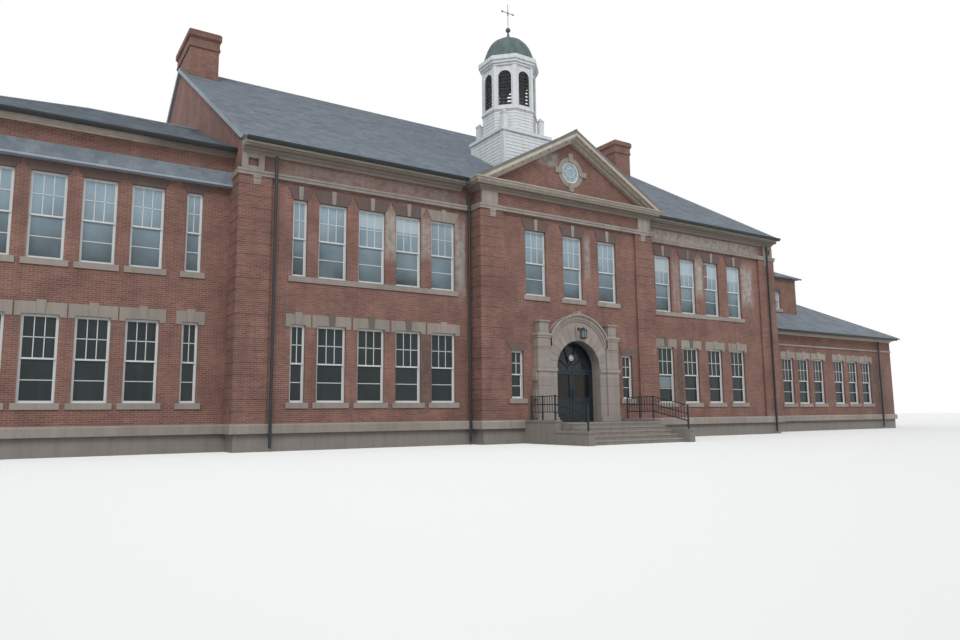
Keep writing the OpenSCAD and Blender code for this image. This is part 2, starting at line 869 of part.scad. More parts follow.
module eave_gutters() {
    return_x = pav_half + pediment_out;
    gutter_run(-main_left, -return_x, cornice_out, eave_z);
    gutter_run(return_x, main_right, cornice_out, eave_z);
    on_face(rear_face) gutter_run(-main_right, main_left, cornice_out, eave_z);
    on_face(wing_face) gutter_run(-left_end, -main_left, wing_out, left_eave_z);
    on_face(low_face) gutter_run(main_right, low_end, low_out, low_eave_z);
}

pipe_r = 26;
pipe_foot = 60;
low_pipe_in = 900;
module downspout(x, face, top) {
    on_face(face) translate([x, -pier_out - table_out - pipe_r - seat_gap, pipe_foot])
        cylinder(r = pipe_r, h = top - pipe_foot);
}

module downspouts() {
    downspout(end_pier_w - main_left + pipe_r * 2, front_left_face, cornice_z);
    downspout(-pav_half - pier_w / 4, front_left_face, cornice_z);
    downspout(main_right - right_pier_w / 2, front_right_face, cornice_z);
    downspout(low_end - low_pipe_in, low_face, low_wall_z);
}

module gutters() color(dark_paint) {
    eave_gutters();
    downspouts();
}

// The raking outline between two depths measured down from the slates
module rake_outline(drop0, drop1, half) {
    polygon([[-half, eave_z - drop0], [0, eave_z + pediment_rise * half - drop0],
        [half, eave_z - drop0], [half, eave_z - drop1],
        [0, eave_z + pediment_rise * half - drop1], [-half, eave_z - drop1]]);
}

module pediment_wall() color(brick) difference() {
    shoulder_z = eave_z + pediment_rise * (pediment_half - pav_half) - rake_top;
    upright(-pav_out, wall) polygon([[-pav_half, eave_z], [pav_half, eave_z],
        [pav_half, shoulder_z], [0, apex_z - rake_top], [-pav_half, shoulder_z]]);
    upright(-pav_out - over, wall + 2 * over) translate([0, oculus_z])
        circle(oculus_r + oculus_ring);
}

// Raking cornice in three steps, and the level cornice under the tympanum
rake_step_share = [[0, 0.42, 1], [0.42, 0.7, 0.72], [0.7, 1, 0.36]];
module raking_cornice() {
    for (s = rake_step_share) upright(-pav_out - s[2] * pediment_out, s[2] * pediment_out)
        intersection() {
            rake_outline(rake_top + s[0] * rake_h, rake_top + s[1] * rake_h,
                pediment_half);
            translate([-pediment_half, eave_z])
                square([2 * pediment_half, apex_z - eave_z]);
        }
}

// The level cornice is mitred round the pavilion by crossing two long mouldings.
module level_cornice() {
    difference() {
        intersection() {
            along_x(-pav_half - pediment_out, 2 * (pav_half + pediment_out))
                cornice_mass(pav_out, pav_out);
            upright(-pav_out - pediment_out, pav_out + pediment_out)
                cornice_mass(pav_half, 2 * pav_half);
        }
        box([-pav_half, -pav_out, cornice_z - over], [pav_half, over, eave_z + over]);
    }
}

// The moulding on both sides of a solid whose near face is at -near
module cornice_mass(near, width) {
    far = width - near;
    polygon(concat(
        [for (p = cornice_share) [-near - p[0] * pediment_out, cornice_z + p[1] * cornice_h]],
        [for (i = [len(cornice_share) - 1 : -1 : 0]) let (p = cornice_share[i])
            if (far > 0) [far + p[0] * pediment_out, cornice_z + p[1] * cornice_h]],
        far > 0 ? [] : [[0, eave_z], [0, cornice_z]]));
}

module pediment_cornice() color(cream) {
    level_cornice();
    raking_cornice();
}

module oculus() color(limestone) {
    upright(-pav_out - stone_proud, stone_proud + wall / 2) translate([0, oculus_z])
        difference() {
            circle(oculus_r + oculus_ring);
            circle(oculus_r);
        }
}

module main_slope_outline() {
    polygon([[-cornice_out, eave_z], [bearing_y, eave_z], [ridge_y, ridge_z - roof_v],
        [ridge_y, ridge_z]]);
}

module main_slope() {
    along_x(-main_left - roof_verge, main_left + main_right + 2 * roof_verge)
        main_slope_outline();
}

module roof_front() color(slate) difference() {
    main_slope();
    stack_space(left_stack_x);
    stack_space(right_stack_x);
    pediment_prism(pediment_front, -pediment_front, seat_gap);
}

module roof_rear() color(slate) difference() {
    translate([0, main_depth, 0]) mirror([0, 1, 0]) main_slope();
    stack_space(left_stack_x);
    stack_space(right_stack_x);
}

// Everything under the top of the front slope, used to trim what stands on it
module under_front_slope() {
    along_x(-main_left, main_left + main_right)
        polygon([[0, eave_z + roof_rise * cornice_out + seat_gap], [0, cornice_z],
            [ridge_y, cornice_z], [ridge_y, ridge_z + seat_gap]]);
}

module pediment_prism(y0, d, gap) {
    upright(y0, d) polygon([[-pediment_half, eave_z], [-pediment_half, eave_z + gap],
        [0, apex_z + gap], [pediment_half, eave_z + gap], [pediment_half, eave_z]]);
}

module pediment_roof_outline() {
    polygon([[-pediment_half, eave_z], [0, apex_z], [pediment_half, eave_z],
        [pediment_half - pav_roof_v / pediment_rise, eave_z], [0, apex_z - pav_roof_v],
        [-pediment_half + pav_roof_v / pediment_rise, eave_z]]);
}

module pediment_roof() color(slate) difference() {
    upright(pediment_front, ridge_y - pediment_front) pediment_roof_outline();
    under_front_slope();
}

// A roof shell over a rectangle, hipped at the ends that are named
module hip_shell(left, right, front, rear, eave, pitch, t, hip_left, hip_right) {
    rise = tan(pitch);
    v = t / cos(pitch);
    difference() {
        hip_mass(left, right, front, rear, eave, rise, hip_left, hip_right);
        translate([0, 0, -v]) hip_mass(left, right, front, rear, eave, rise,
            hip_left, hip_right, over);
        roof_seams(left, right, front, rear, hip_left, hip_right);
    }
}

// Each slope is a slab of its own, so the ridge and the hips are open by a hair.
module roof_seams(left, right, front, rear, hip_left, hip_right) {
    half = (rear - front) / 2;
    hip = half * sqrt(2) + seat_gap;
    ridge_left = hip_left ? left + half : left - over;
    ridge_right = hip_right ? right - half : right + over;
    linear_extrude(ridge_z) {
        translate([ridge_left, front + half - seat_gap / 2])
            square([ridge_right - ridge_left, seat_gap]);
        if (hip_left) for (s = [-1, 1]) translate([left, s < 0 ? front : rear])
            rotate(-45 * s) translate([0, -seat_gap / 2]) square([hip, seat_gap]);
        if (hip_right) for (s = [-1, 1]) translate([right, s < 0 ? front : rear])
            rotate(180 + 45 * s) translate([0, -seat_gap / 2]) square([hip, seat_gap]);
    }
}

module hip_mass(left, right, front, rear, eave, rise, hip_left, hip_right, grow = 0) {
    half = (rear - front) / 2;
    mid = (front + rear) / 2;
    l = hip_left ? left : left - grow;
    r = hip_right ? right : right + grow;
    intersection() {
        along_x(l, r - l) polygon([[front, eave], [rear, eave], [mid, eave + rise * half]]);
        upright(front - over, rear - front + 2 * over)
            polygon([[l, eave], [r, eave],
                [hip_right ? r - half : r, eave + rise * half],
                [hip_left ? l + half : l, eave + rise * half]]);
    }
}

module left_wing_roof() {
    hip_shell(-left_end - wing_out, -main_left, left_front - wing_out, left_rear + wing_out,
        left_eave_z, wing_pitch_deg, wing_roof_t, true, false);
}

module low_wing_roof() {
    difference() {
        hip_shell(main_right, low_end + low_out, low_front - low_out, low_rear + low_out,
            low_eave_z, low_pitch, low_roof_t, false, true);
        box([main_right - over, block_front, base_h],
            [block_right, low_rear + 2 * low_out, block_eave_z]);
        box([block_right - seat_gap, low_front - 2 * low_out, low_wall_z],
            [block_right, block_front, block_eave_z]);
    }
}

module block_roof() {
    hip_shell(main_right, block_right + block_out, block_front - block_out,
        low_rear + block_out, block_eave_z, block_pitch, wing_roof_t, false, true);
}

module wing_roofs() color(slate) {
    left_wing_roof();
    low_wing_roof();
    block_roof();
    pent_band();
}

// Slated band that shelters the left wing's upper windows
module pent_band() {
    on_face(wing_face) along_x(-left_end, left_end - main_left)
        polygon([[0, pent_z], [-pent_out, pent_z], [-pent_out, pent_z + pent_edge],
            [0, pent_z + pent_h]]);
}

// Chimney stack with a corbelled cap, standing on the gable wall
stack_cap_h = 160;
stack_cap_out = 40;
cap_share = 0.4;
module stack(left) {
    top = ridge_z + stack_rise;
    box([left, ridge_y - stack_d / 2, stack_seat], [left + stack_w, ridge_y + stack_d / 2, top]);
    for (s = [cap_share, 1])
        translate([left - stack_cap_out * s, ridge_y - stack_d / 2 - stack_cap_out * s,
            top - stack_cap_h + (s < 1 ? 0 : stack_cap_h / 3)])
            cube([stack_w + 2 * stack_cap_out * s, stack_d + 2 * stack_cap_out * s,
                stack_cap_h / 3]);
}

module chimneys() color(brick) {
    stack(left_stack_x);
    stack(right_stack_x);
}

// Stone jambs of the portal: plinth, shaft with pilaster, impost and capital block
module portal_jamb() {
    y1 = -pav_out;
    box([-portal_half, portal_y, floor_z], [-door_half, y1, spring_z]);
    box([-portal_half - plinth_out, portal_y - plinth_out, floor_z],
        [-door_half, y1, floor_z + plinth_h]);
    box([-portal_half - impost_out, portal_y - impost_out, spring_z - impost_h],
        [-door_half, y1, spring_z]);
    box([-portal_half, portal_y - pilaster_out, floor_z],
        [pilaster_w - portal_half, y1, spring_z]);
}

module portal_jambs() color(limestone) both_sides() portal_jamb();

module portal_arch() color(limestone) difference() {
    top = capital_z + capital_h + block_h;
    union() {
        box([-portal_half, portal_y, spring_z], [portal_half, -pav_out, capital_z + capital_h]);
        both_sides() box([-portal_half - impost_out, portal_y - pilaster_out - impost_out,
            capital_z], [pilaster_w - portal_half + impost_out, -pav_out,
            capital_z + capital_h]);
        both_sides() box([-portal_half, portal_y - pilaster_out, spring_z],
            [pilaster_w - portal_half, -pav_out, top]);
        upright(portal_y, portal_out) hood_outline(top);
    }
    upright(portal_y - over, portal_out + 2 * over) translate([0, spring_z])
        circle(door_half);
}

// The field under the segmental hood moulding
module hood_outline(top) {
    rise = hood_rise + hood_t;
    half = portal_half - pilaster_w;
    r = (half * half + rise * rise) / 2 / rise;
    intersection() {
        translate([0, top - hood_t + rise - r]) circle(r);
        translate([-half, capital_z]) square([2 * half, 2 * rise + block_h]);
    }
}

module door_jambs() color(dark_paint) {
    both_sides() {
        box([-door_half, leaf_y, floor_z], [frame_w - door_half, leaf_y + frame_d, spring_z
            - transom_h]);
        for (s = hinge_share) hinge_part(s, 0);
    }
}

// One half of a butt hinge of the left leaf: 0 is on the frame, 1 is on the leaf
module hinge_part(share, side) {
    z = floor_z + door_gap + share * leaf_h + side * (hinge_half_l + seat_gap);
    translate([-hinge_x, hinge_y, z]) cylinder(r = hinge_r, h = hinge_half_l);
    x0 = side == 0 ? -hinge_x - hinge_plate : -hinge_x;
    box([x0, leaf_y - hinge_plate_t, z],
        [x0 + hinge_plate, leaf_y + hinge_plate_t, z + hinge_half_l]);
}

// Transom and arched frame with a hub and radiating bars
module fanlight() color(dark_paint) {
    box([-door_half, leaf_y, spring_z - transom_h],
        [door_half, leaf_y + frame_d, spring_z]);
    upright(leaf_y, frame_d) translate([0, spring_z]) difference() {
        circle(door_half);
        circle(door_half - frame_w);
        translate([-2 * door_half, -2 * door_half]) square([4 * door_half, 2 * door_half]);
    }
    upright(leaf_y + (frame_d - fan_bar) / 2, fan_bar) translate([0, spring_z])
        intersection() {
            union() {
                circle(fan_hub);
                for (i = [1 : fan_bars]) rotate(180 * i / (fan_bars + 1))
                    translate([0, -fan_bar / 2]) square([door_half - frame_w / 2, fan_bar]);
            }
            translate([-door_half, -over]) square([2 * door_half, door_half]);
        }
}

module leaf_glass_box(grow = 0) {
    z0 = floor_z + door_gap + kick_rail + panel_h + lock_rail;
    z1 = floor_z + door_gap + leaf_h - stile;
    translate([-leaf_x + stile, leaf_y + (leaf_t - glass_t) / 2 - grow, z0])
        cube([leaf_w - 2 * stile, glass_t + 2 * grow, z1 - z0]);
}

module door_leaf() {
    z0 = floor_z + door_gap;
    difference() {
        box([-leaf_x, leaf_y, z0], [leaf_w - leaf_x, leaf_y + leaf_t, z0 + leaf_h]);
        leaf_glass_box(leaf_t);
        for (y = [leaf_y - over, leaf_y + leaf_t - leaf_t / 4])
            box([-leaf_x + stile, y, z0 + kick_rail],
                [leaf_w - leaf_x - stile, y + leaf_t / 4 + over, z0 + kick_rail + panel_h]);
    }
    for (s = hinge_share) hinge_part(s, 1);
    pull_x = leaf_w - leaf_x - stile / 2;
    pull_z = z0 + leaf_h * 0.45;
    translate([pull_x, leaf_y - pull_out + pull_r, pull_z]) cylinder(r = pull_r, h = pull_h);
    for (z = [pull_z + pull_r, pull_z + pull_h - pull_r])
        translate([pull_x, leaf_y + pull_r, z]) rotate([90, 0, 0])
            cylinder(r = pull_r / 2, h = pull_out);
}

module door_left() color("#27404a") door_leaf();
module door_right() color("#27404a") mirror([1, 0, 0]) door_leaf();
module door_left_glass() color("#39444a") leaf_glass_box();
module door_right_glass() color("#39444a") mirror([1, 0, 0]) leaf_glass_box();

lantern_x = -240;
lantern_z = spring_z + door_half + 150;
lantern_out = 130;
lantern_r = 34;
lantern_h = 96;
module wall_lantern() color(dark_paint) {
    translate([lantern_x, portal_y - lantern_out, lantern_z]) {
        cylinder(r = lantern_r, h = lantern_h, $fn = 6);
        translate([0, 0, lantern_h]) cylinder(r = lantern_r / 3, h = lantern_h / 3);
    }
    box([lantern_x - pull_r, portal_y - lantern_out, lantern_z + lantern_h],
        [lantern_x + pull_r, portal_y, lantern_z + lantern_h + 2 * pull_r]);
}

module entrance_steps() color(limestone) {
    for (i = [0 : risers - 1])
        box([-steps_half, steps_front + i * going, i * riser_h],
            [steps_half, -pav_out, (i + 1) * riser_h]);
    box([-door_half, -pav_out, base_h], [door_half, wall - pav_out, floor_z]);
}

// A cheek wall steps down once beside the flight, and each level has a cap stone.
cheek_x = -steps_half - cheek_w;
cheek_step_y = landing_y + going;
cheek_low_z = floor_z / 2 + cheek_above;
module stair_cheeks() color(limestone) both_sides() {
    cheek_block(cheek_step_y, -pav_out, floor_z + cheek_above);
    cheek_block(steps_front - going, cheek_step_y, cheek_low_z);
}

module cheek_block(y0, y1, top) {
    box([cheek_x, y0, 0], [-steps_half, y1, top]);
    box([cheek_x - cheek_cap_out, y0 - cheek_cap_out, top - cheek_cap_h],
        [-steps_half, y1, top]);
}

// A bar of square section in the plane of one railing, from p0 to p1 as [y, z]
module rail_bar(p0, p1, w) {
    d = p1 - p0;
    translate([rail_x - w / 2, p0[0], p0[1]]) rotate([atan2(d[1], d[0]), 0, 0])
        cube([w, norm(d), w]);
}

rail_x = -steps_half - cheek_w / 2;
rail_front = steps_front - going / 2;
rail_step = cheek_step_y + going / 2;
rail_back = portal_y - plinth_out - 2 * over;
rail_share = [0.32, 0.64, 1];
module one_railing() {
    top = floor_z + cheek_above;
    for (s = rail_share) {
        rail_bar([rail_step, top + s * rail_h], [rail_back, top + s * rail_h], bar);
        rail_bar([rail_front, cheek_low_z + s * rail_h], [rail_step, top + s * rail_h], bar);
    }
    rail_post(rail_front, cheek_low_z, rail_h);
    rail_post(rail_step, top, rail_h);
    rail_post((rail_step + rail_back) / 2, top, rail_h);
    rail_post(rail_back - post, top, rail_h);
}

module rail_post(y, z, h) {
    box([rail_x - post / 2, y, z], [rail_x + post / 2, y + post, z + h + post]);
}

module railings() color(dark_paint) both_sides() one_railing();

module cupola_base() color(white_paint) difference() {
    union() {
        translate([-cupola_half, belfry_y - cupola_half, eave_z])
            cube([2 * cupola_half, 2 * cupola_half, cupola_rise - cap_h]);
        translate([-cupola_half - cap_out, belfry_y - cupola_half - cap_out,
            cupola_top - cap_h])
            cube([2 * (cupola_half + cap_out), 2 * (cupola_half + cap_out), cap_h]);
    }
    under_front_slope();
    pediment_prism(-pav_out, ridge_y, seat_gap);
}

module octagon(r) {
    rotate(22.5) circle(r, $fn = 8);
}

module at_belfry(z) {
    translate([0, belfry_y, z]) children();
}

// Pedestal and open stage: eight walls with an arched opening in each
module belfry() color(white_paint) {
    at_belfry(cupola_top) linear_extrude(pedestal_h) octagon(octagon_r);
    at_belfry(pedestal_top) difference() {
        linear_extrude(arcade_h) octagon(octagon_r);
        translate([0, 0, -over]) linear_extrude(arcade_h + 2 * over)
            octagon(octagon_r - arcade_t / cos(22.5));
        for (i = [0 : 7]) rotate(i * 45) upright(-octagon_r, octagon_r)
            translate([0, arch_z - pedestal_top]) arch_outline(arch_w, arch_h);
    }
}

module arch_outline(w, h) {
    translate([-w / 2, 0]) square([w, h - w / 2]);
    translate([0, h - w / 2]) circle(w / 2);
}

// Louvres that fill one arch: an arched stile frame with tilted slats
module louvre_panel() {
    translate([0, 0, arch_z - pedestal_top]) {
        difference() {
            upright(0, louvre_d) arch_outline(arch_w, arch_h);
            upright(-over, louvre_d + 2 * over) translate([0, stile_w])
                arch_outline(arch_w - 2 * stile_w, arch_h - 2 * stile_w);
        }
        intersection() {
            upright(0, louvre_d) arch_outline(arch_w, arch_h);
            for (i = [0 : slat_count - 1])
                translate([-arch_w / 2, louvre_d / 2, (i + 0.5) * arch_h / slat_count])
                    rotate([-slat_tilt, 0, 0]) translate([0, -slat_d / 2, 0])
                        cube([arch_w, slat_d, slat_t]);
        }
    }
}

module louvres() color(white_paint) at_belfry(pedestal_top) for (i = [0 : 7])
    rotate(i * 45) translate([0, -octagon_flat + (arcade_t - louvre_d) / 2, 0])
        louvre_panel();

module cupola_cornice() color(white_paint) at_belfry(arcade_top) {
    steps = [[0, 0.25, 0.35], [0.25, 0.55, 0.7], [0.55, 1, 1]];
    for (s = steps) translate([0, 0, s[0] * belfry_cornice_h])
        linear_extrude((s[1] - s[0]) * belfry_cornice_h)
            octagon(octagon_r + s[2] * belfry_cornice_out);
}

// Gored dome: each ring is a circle that swells between the ribs
dome_rings = 14;
gore_steps = 6;
gore_swell = 0.045;
dome_tip_share = 0.05;
function dome_profile(t) = pow(cos(90 * pow(t, 1.15)), 0.8);
function dome_point(ring, k) =
    let (t = ring / dome_rings, a = 360 * k / (gores * gore_steps),
        swell = 1 - gore_swell + gore_swell * abs(sin(a * gores / 2)),
        r = dome_r * max(dome_profile(t), dome_tip_share) * swell)
    [r * cos(a + 22.5), r * sin(a + 22.5), dome_h * t];

module cupola_dome() color(copper_green) at_belfry(dome_z) {
    n = gores * gore_steps;
    polyhedron(
        points = [for (j = [0 : dome_rings], k = [0 : n - 1]) dome_point(j, k)],
        faces = concat(
            [[for (k = [0 : n - 1]) k]],
            [for (j = [0 : dome_rings - 1], k = [0 : n - 1])
                [j * n + k, (j + 1) * n + k, (j + 1) * n + (k + 1) % n]],
            [for (j = [0 : dome_rings - 1], k = [0 : n - 1])
                [j * n + k, (j + 1) * n + (k + 1) % n, j * n + (k + 1) % n]],
            [[for (k = [n - 1 : -1 : 0]) dome_rings * n + k]]));
}

module finial() color(copper_green) at_belfry(dome_top) {
    rotate_extrude() polygon([[0, 0], [ball_r, 0], [ball_r * 0.5, cone_h * 0.4],
        [ball_r * 0.3, cone_h], [0, cone_h]]);
    translate([0, 0, cone_h + ball_r * 0.9]) sphere(ball_r);
    cylinder(r = rod_r, h = cone_h + ball_r + rod_h);
    translate([0, 0, cone_h + ball_r + rod_h - vane_drop - seat_gap - 2 * rod_r])
        cylinder(r = sleeve_r, h = 2 * rod_r);
}

module weathervane() color(dark_paint)
    at_belfry(dome_top + cone_h + ball_r + rod_h - vane_drop) {
        difference() {
            union() {
                cylinder(r = sleeve_r, h = vane_drop / 3);
                upright(-vane_t / 2, vane_t) vane_outline();
            }
            translate([0, 0, -over]) cylinder(r = rod_r + seat_gap,
                h = vane_drop / 3 + 2 * over);
        }
    }

// Arrow with a feathered tail, as shares of its half length
vane_share = [[-1, 0.12], [-0.72, 0.2], [-0.6, 0.24], [0.62, 0.24], [0.62, 0.16], [1, 0.27],
    [0.62, 0.38], [0.62, 0.3], [-0.6, 0.3], [-0.72, 0.34], [-1, 0.42], [-0.88, 0.27]];
module vane_outline() {
    polygon([for (p = vane_share) p * vane_half]);
}

stone_base();
floors();
front_wall_left();
front_wall_right();
pavilion_wall_left();
pavilion_wall_right();
pavilion_wall_over();
rear_walls();
end_walls();
wing_front_walls();
corner_piers();
stone_courses();
window_lintels();
window_sills();
window_frames();
window_glass();
cornices();
gutters();
pediment_wall();
pediment_cornice();
oculus();
roof_front();
roof_rear();
pediment_roof();
wing_roofs();
chimneys();
portal_jambs();
portal_arch();
door_jambs();
fanlight();
door_left();
door_right();
door_left_glass();
door_right_glass();
wall_lantern();
entrance_steps();
stair_cheeks();
railings();
cupola_base();
belfry();
louvres();
cupola_cornice();
cupola_dome();
finial();
weathervane();
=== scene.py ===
"""Dresses the half-scale model of a brick school building.

Every CAD piece gets the finish of the real one, and the small pieces that the CAD leaves out are
modelled here: window bars, slates, ridge rolls, clapboards, door joinery, the portal's stones,
keystones, lantern, gored dome, belfry mouldings, chimney courses and balusters. Lengths are
model metres, half of the real ones.
"""

import logging
import math
import random
from collections.abc import Iterable, Iterator
from dataclasses import dataclass, field
from enum import Enum
from typing import Any

import bmesh
import bpy
from mathutils import Matrix, Vector


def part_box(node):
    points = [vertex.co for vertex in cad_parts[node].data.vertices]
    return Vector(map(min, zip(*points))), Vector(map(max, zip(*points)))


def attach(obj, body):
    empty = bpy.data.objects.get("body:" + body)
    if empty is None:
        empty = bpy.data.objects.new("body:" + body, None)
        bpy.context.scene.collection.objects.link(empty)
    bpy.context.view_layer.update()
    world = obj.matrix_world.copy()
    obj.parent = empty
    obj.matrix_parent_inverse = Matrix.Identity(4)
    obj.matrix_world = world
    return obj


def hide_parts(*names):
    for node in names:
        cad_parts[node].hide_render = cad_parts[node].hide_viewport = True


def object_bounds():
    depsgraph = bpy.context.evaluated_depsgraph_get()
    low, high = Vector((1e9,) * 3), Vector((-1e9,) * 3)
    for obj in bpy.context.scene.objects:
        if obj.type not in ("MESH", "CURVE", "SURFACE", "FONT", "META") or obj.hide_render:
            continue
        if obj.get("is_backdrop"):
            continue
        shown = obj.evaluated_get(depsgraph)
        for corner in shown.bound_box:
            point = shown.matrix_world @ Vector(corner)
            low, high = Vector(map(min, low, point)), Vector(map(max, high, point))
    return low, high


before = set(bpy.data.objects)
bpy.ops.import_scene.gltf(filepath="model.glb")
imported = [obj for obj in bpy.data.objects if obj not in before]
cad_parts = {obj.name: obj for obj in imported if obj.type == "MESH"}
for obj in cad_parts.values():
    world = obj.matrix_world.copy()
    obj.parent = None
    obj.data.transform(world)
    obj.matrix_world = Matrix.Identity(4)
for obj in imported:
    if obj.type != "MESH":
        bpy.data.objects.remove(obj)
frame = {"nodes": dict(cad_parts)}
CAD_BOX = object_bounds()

log = logging.getLogger("school")

SCALE = 0.5
MM = 0.001
UP = Vector((0, 0, 1))
SEED = 7


class Body(Enum):
    """The moving bodies of the frame."""

    BUILDING = "building"
    DOOR_LEFT = "door_left"
    DOOR_RIGHT = "door_right"
    VANE = "vane"


class Slot(Enum):
    """Material slots, one passed with each added piece."""

    LIMESTONE = "limestone"
    CREAM = "cream_paint"
    WHITE = "white_paint"
    DARK = "dark_paint"
    SLATE = "slate"
    GLASS = "glass"
    DOOR = "door_paint"
    COPPER = "copper"


def real_mm(length: float) -> float:
    """Model metres of a length given in real millimetres.

    Args:
        length: The length on the real building, in millimetres.

    Returns:
        The same length on the model, in metres.
    """
    return length * MM * SCALE


def linear(hex_colour: str) -> tuple[float, float, float, float]:
    """Turn an sRGB hex colour into linear light.

    Args:
        hex_colour: Six hex digits after a hash sign.

    Returns:
        Linear red, green, blue and an alpha of 1.
    """
    parts = [int(hex_colour[i : i + 2], 16) / 255 for i in (1, 3, 5)]
    toe, slope = 0.04045, 12.92
    lit = [p / slope if p <= toe else ((p + 0.055) / 1.055) ** 2.4 for p in parts]
    return lit[0], lit[1], lit[2], 1.0


def add(
    tree: bpy.types.NodeTree, kind: str, inputs: dict[int | str, Any] | None = None, **settings: Any
) -> bpy.types.Node:
    """Add one shader node with its settings, values and links.

    Args:
        tree: The material's node tree.
        kind: Blender's name of the node type.
        inputs: A value or a socket to link, by the input's index or name.
        **settings: Properties of the node.

    Returns:
        The new node.
    """
    node = tree.nodes.new(kind)
    for key, value in settings.items():
        setattr(node, key, value)
    for key, value in (inputs or {}).items():
        if isinstance(value, bpy.types.NodeSocket):
            tree.links.new(value, node.inputs[key])
        else:
            node.inputs[key].default_value = value
    return node


# Inputs of a colour Mix node, which has one set of sockets for each data type
MIX_FACTOR, MIX_A, MIX_B, MIX_OUT = 0, 6, 7, 2


@dataclass(frozen=True)
class Patch:
    """A patch of another colour, placed as one sees it from the front.

    Attributes:
        x: Centre along the front.
        z: Centre above the ground.
        half_w: Half its width.
        half_h: Half its height.
        strength: How much of the colour under it it hides at most.
        soft: Share of its size that its edge fades over.
    """

    x: float
    z: float
    half_w: float
    half_h: float
    strength: float = 0.8
    soft: float = 0.5


@dataclass(frozen=True)
class Finish:
    """A painted or plain surface with broad dirt, fine grain and dark streaks.

    Attributes:
        name: What the finish is called.
        colour: Main colour.
        second: Colour that the broad mottling drifts to.
        dirt: Colour of grime and streaks.
        roughness: Roughness of the clean surface.
        grain_mm: Size of the fine grain on the real building.
        grain_depth: Strength of the grain's bump.
        dirt_share: How much the grime shows.
        metallic: 1 for bare metal.
        specular: Strength of the mirror-like reflection.
    """

    name: str
    colour: str
    second: str
    dirt: str
    roughness: float = 0.6
    grain_mm: float = 6.0
    grain_depth: float = 0.15
    dirt_share: float = 0.35
    metallic: float = 0.0
    specular: float = 0.5

    def material(self) -> bpy.types.Material:
        """Build the material.

        Returns:
            The material with its whole node tree.
        """
        made = bpy.data.materials.new(self.name)
        made.use_nodes = True
        tree = made.node_tree
        tree.nodes.clear()
        point = add(tree, "ShaderNodeTexCoord").outputs["Object"]
        colour, bump = self.pattern(tree, point)
        colour = self.weather(tree, point, colour)
        shader = add(
            tree,
            "ShaderNodeBsdfPrincipled",
            {
                "Base Color": colour,
                "Normal": bump,
                "Roughness": self.roughness,
                "Metallic": self.metallic,
                "Specular IOR Level": self.specular,
            },
        )
        add(tree, "ShaderNodeOutputMaterial", {"Surface": shader.outputs["BSDF"]})
        return made

    def pattern(
        self, tree: bpy.types.NodeTree, point: bpy.types.NodeSocket
    ) -> tuple[bpy.types.NodeSocket, bpy.types.NodeSocket]:
        """Draw the surface before it weathers.

        Args:
            tree: The material's node tree.
            point: The object coordinates.

        Returns:
            The colour and the bumped normal.
        """
        broad = add(tree, "ShaderNodeTexNoise", {"Vector": point, "Scale": 3.0, "Detail": 6.0})
        colour = add(
            tree,
            "ShaderNodeMix",
            {
                MIX_FACTOR: broad.outputs["Fac"],
                MIX_A: linear(self.colour),
                MIX_B: linear(self.second),
            },
            data_type="RGBA",
        )
        return colour.outputs[MIX_OUT], self.grain(tree, point)

    def grain(
        self, tree: bpy.types.NodeTree, point: bpy.types.NodeSocket
    ) -> bpy.types.NodeSocket:
        """Bump of the fine grain.

        Args:
            tree: The material's node tree.
            point: The object coordinates.

        Returns:
            The bumped normal.
        """
        fine = add(
            tree,
            "ShaderNodeTexNoise",
            {"Vector": point, "Scale": 1 / real_mm(self.grain_mm * 4), "Detail": 4.0},
        )
        bump = add(
            tree,
            "ShaderNodeBump",
            {"Height": fine.outputs["Fac"], "Strength": self.grain_depth, "Distance": 0.004},
        )
        return bump.outputs["Normal"]

    def weather(
        self,
        tree: bpy.types.NodeTree,
        point: bpy.types.NodeSocket,
        colour: bpy.types.NodeSocket,
    ) -> bpy.types.NodeSocket:
        """Lay grime and rain streaks over a colour.

        Args:
            tree: The material's node tree.
            point: The object coordinates.
            colour: The clean colour.

        Returns:
            The dirty colour.
        """
        stretched = add(
            tree, "ShaderNodeMapping", {"Vector": point, "Scale": (9.0, 9.0, 1.1)}
        ).outputs["Vector"]
        streaks = add(
            tree, "ShaderNodeTexNoise", {"Vector": stretched, "Scale": 1.0, "Detail": 5.0}
        )
        mask = add(
            tree,
            "ShaderNodeMapRange",
            {
                "Value": streaks.outputs["Fac"],
                "From Min": 0.45,
                "From Max": 0.75,
                "To Min": 0.0,
                "To Max": self.dirt_share,
            },
        )
        mixed = add(
            tree,
            "ShaderNodeMix",
            {MIX_FACTOR: mask.outputs["Result"], MIX_A: colour, MIX_B: linear(self.dirt)},
            data_type="RGBA",
        )
        return mixed.outputs[MIX_OUT]


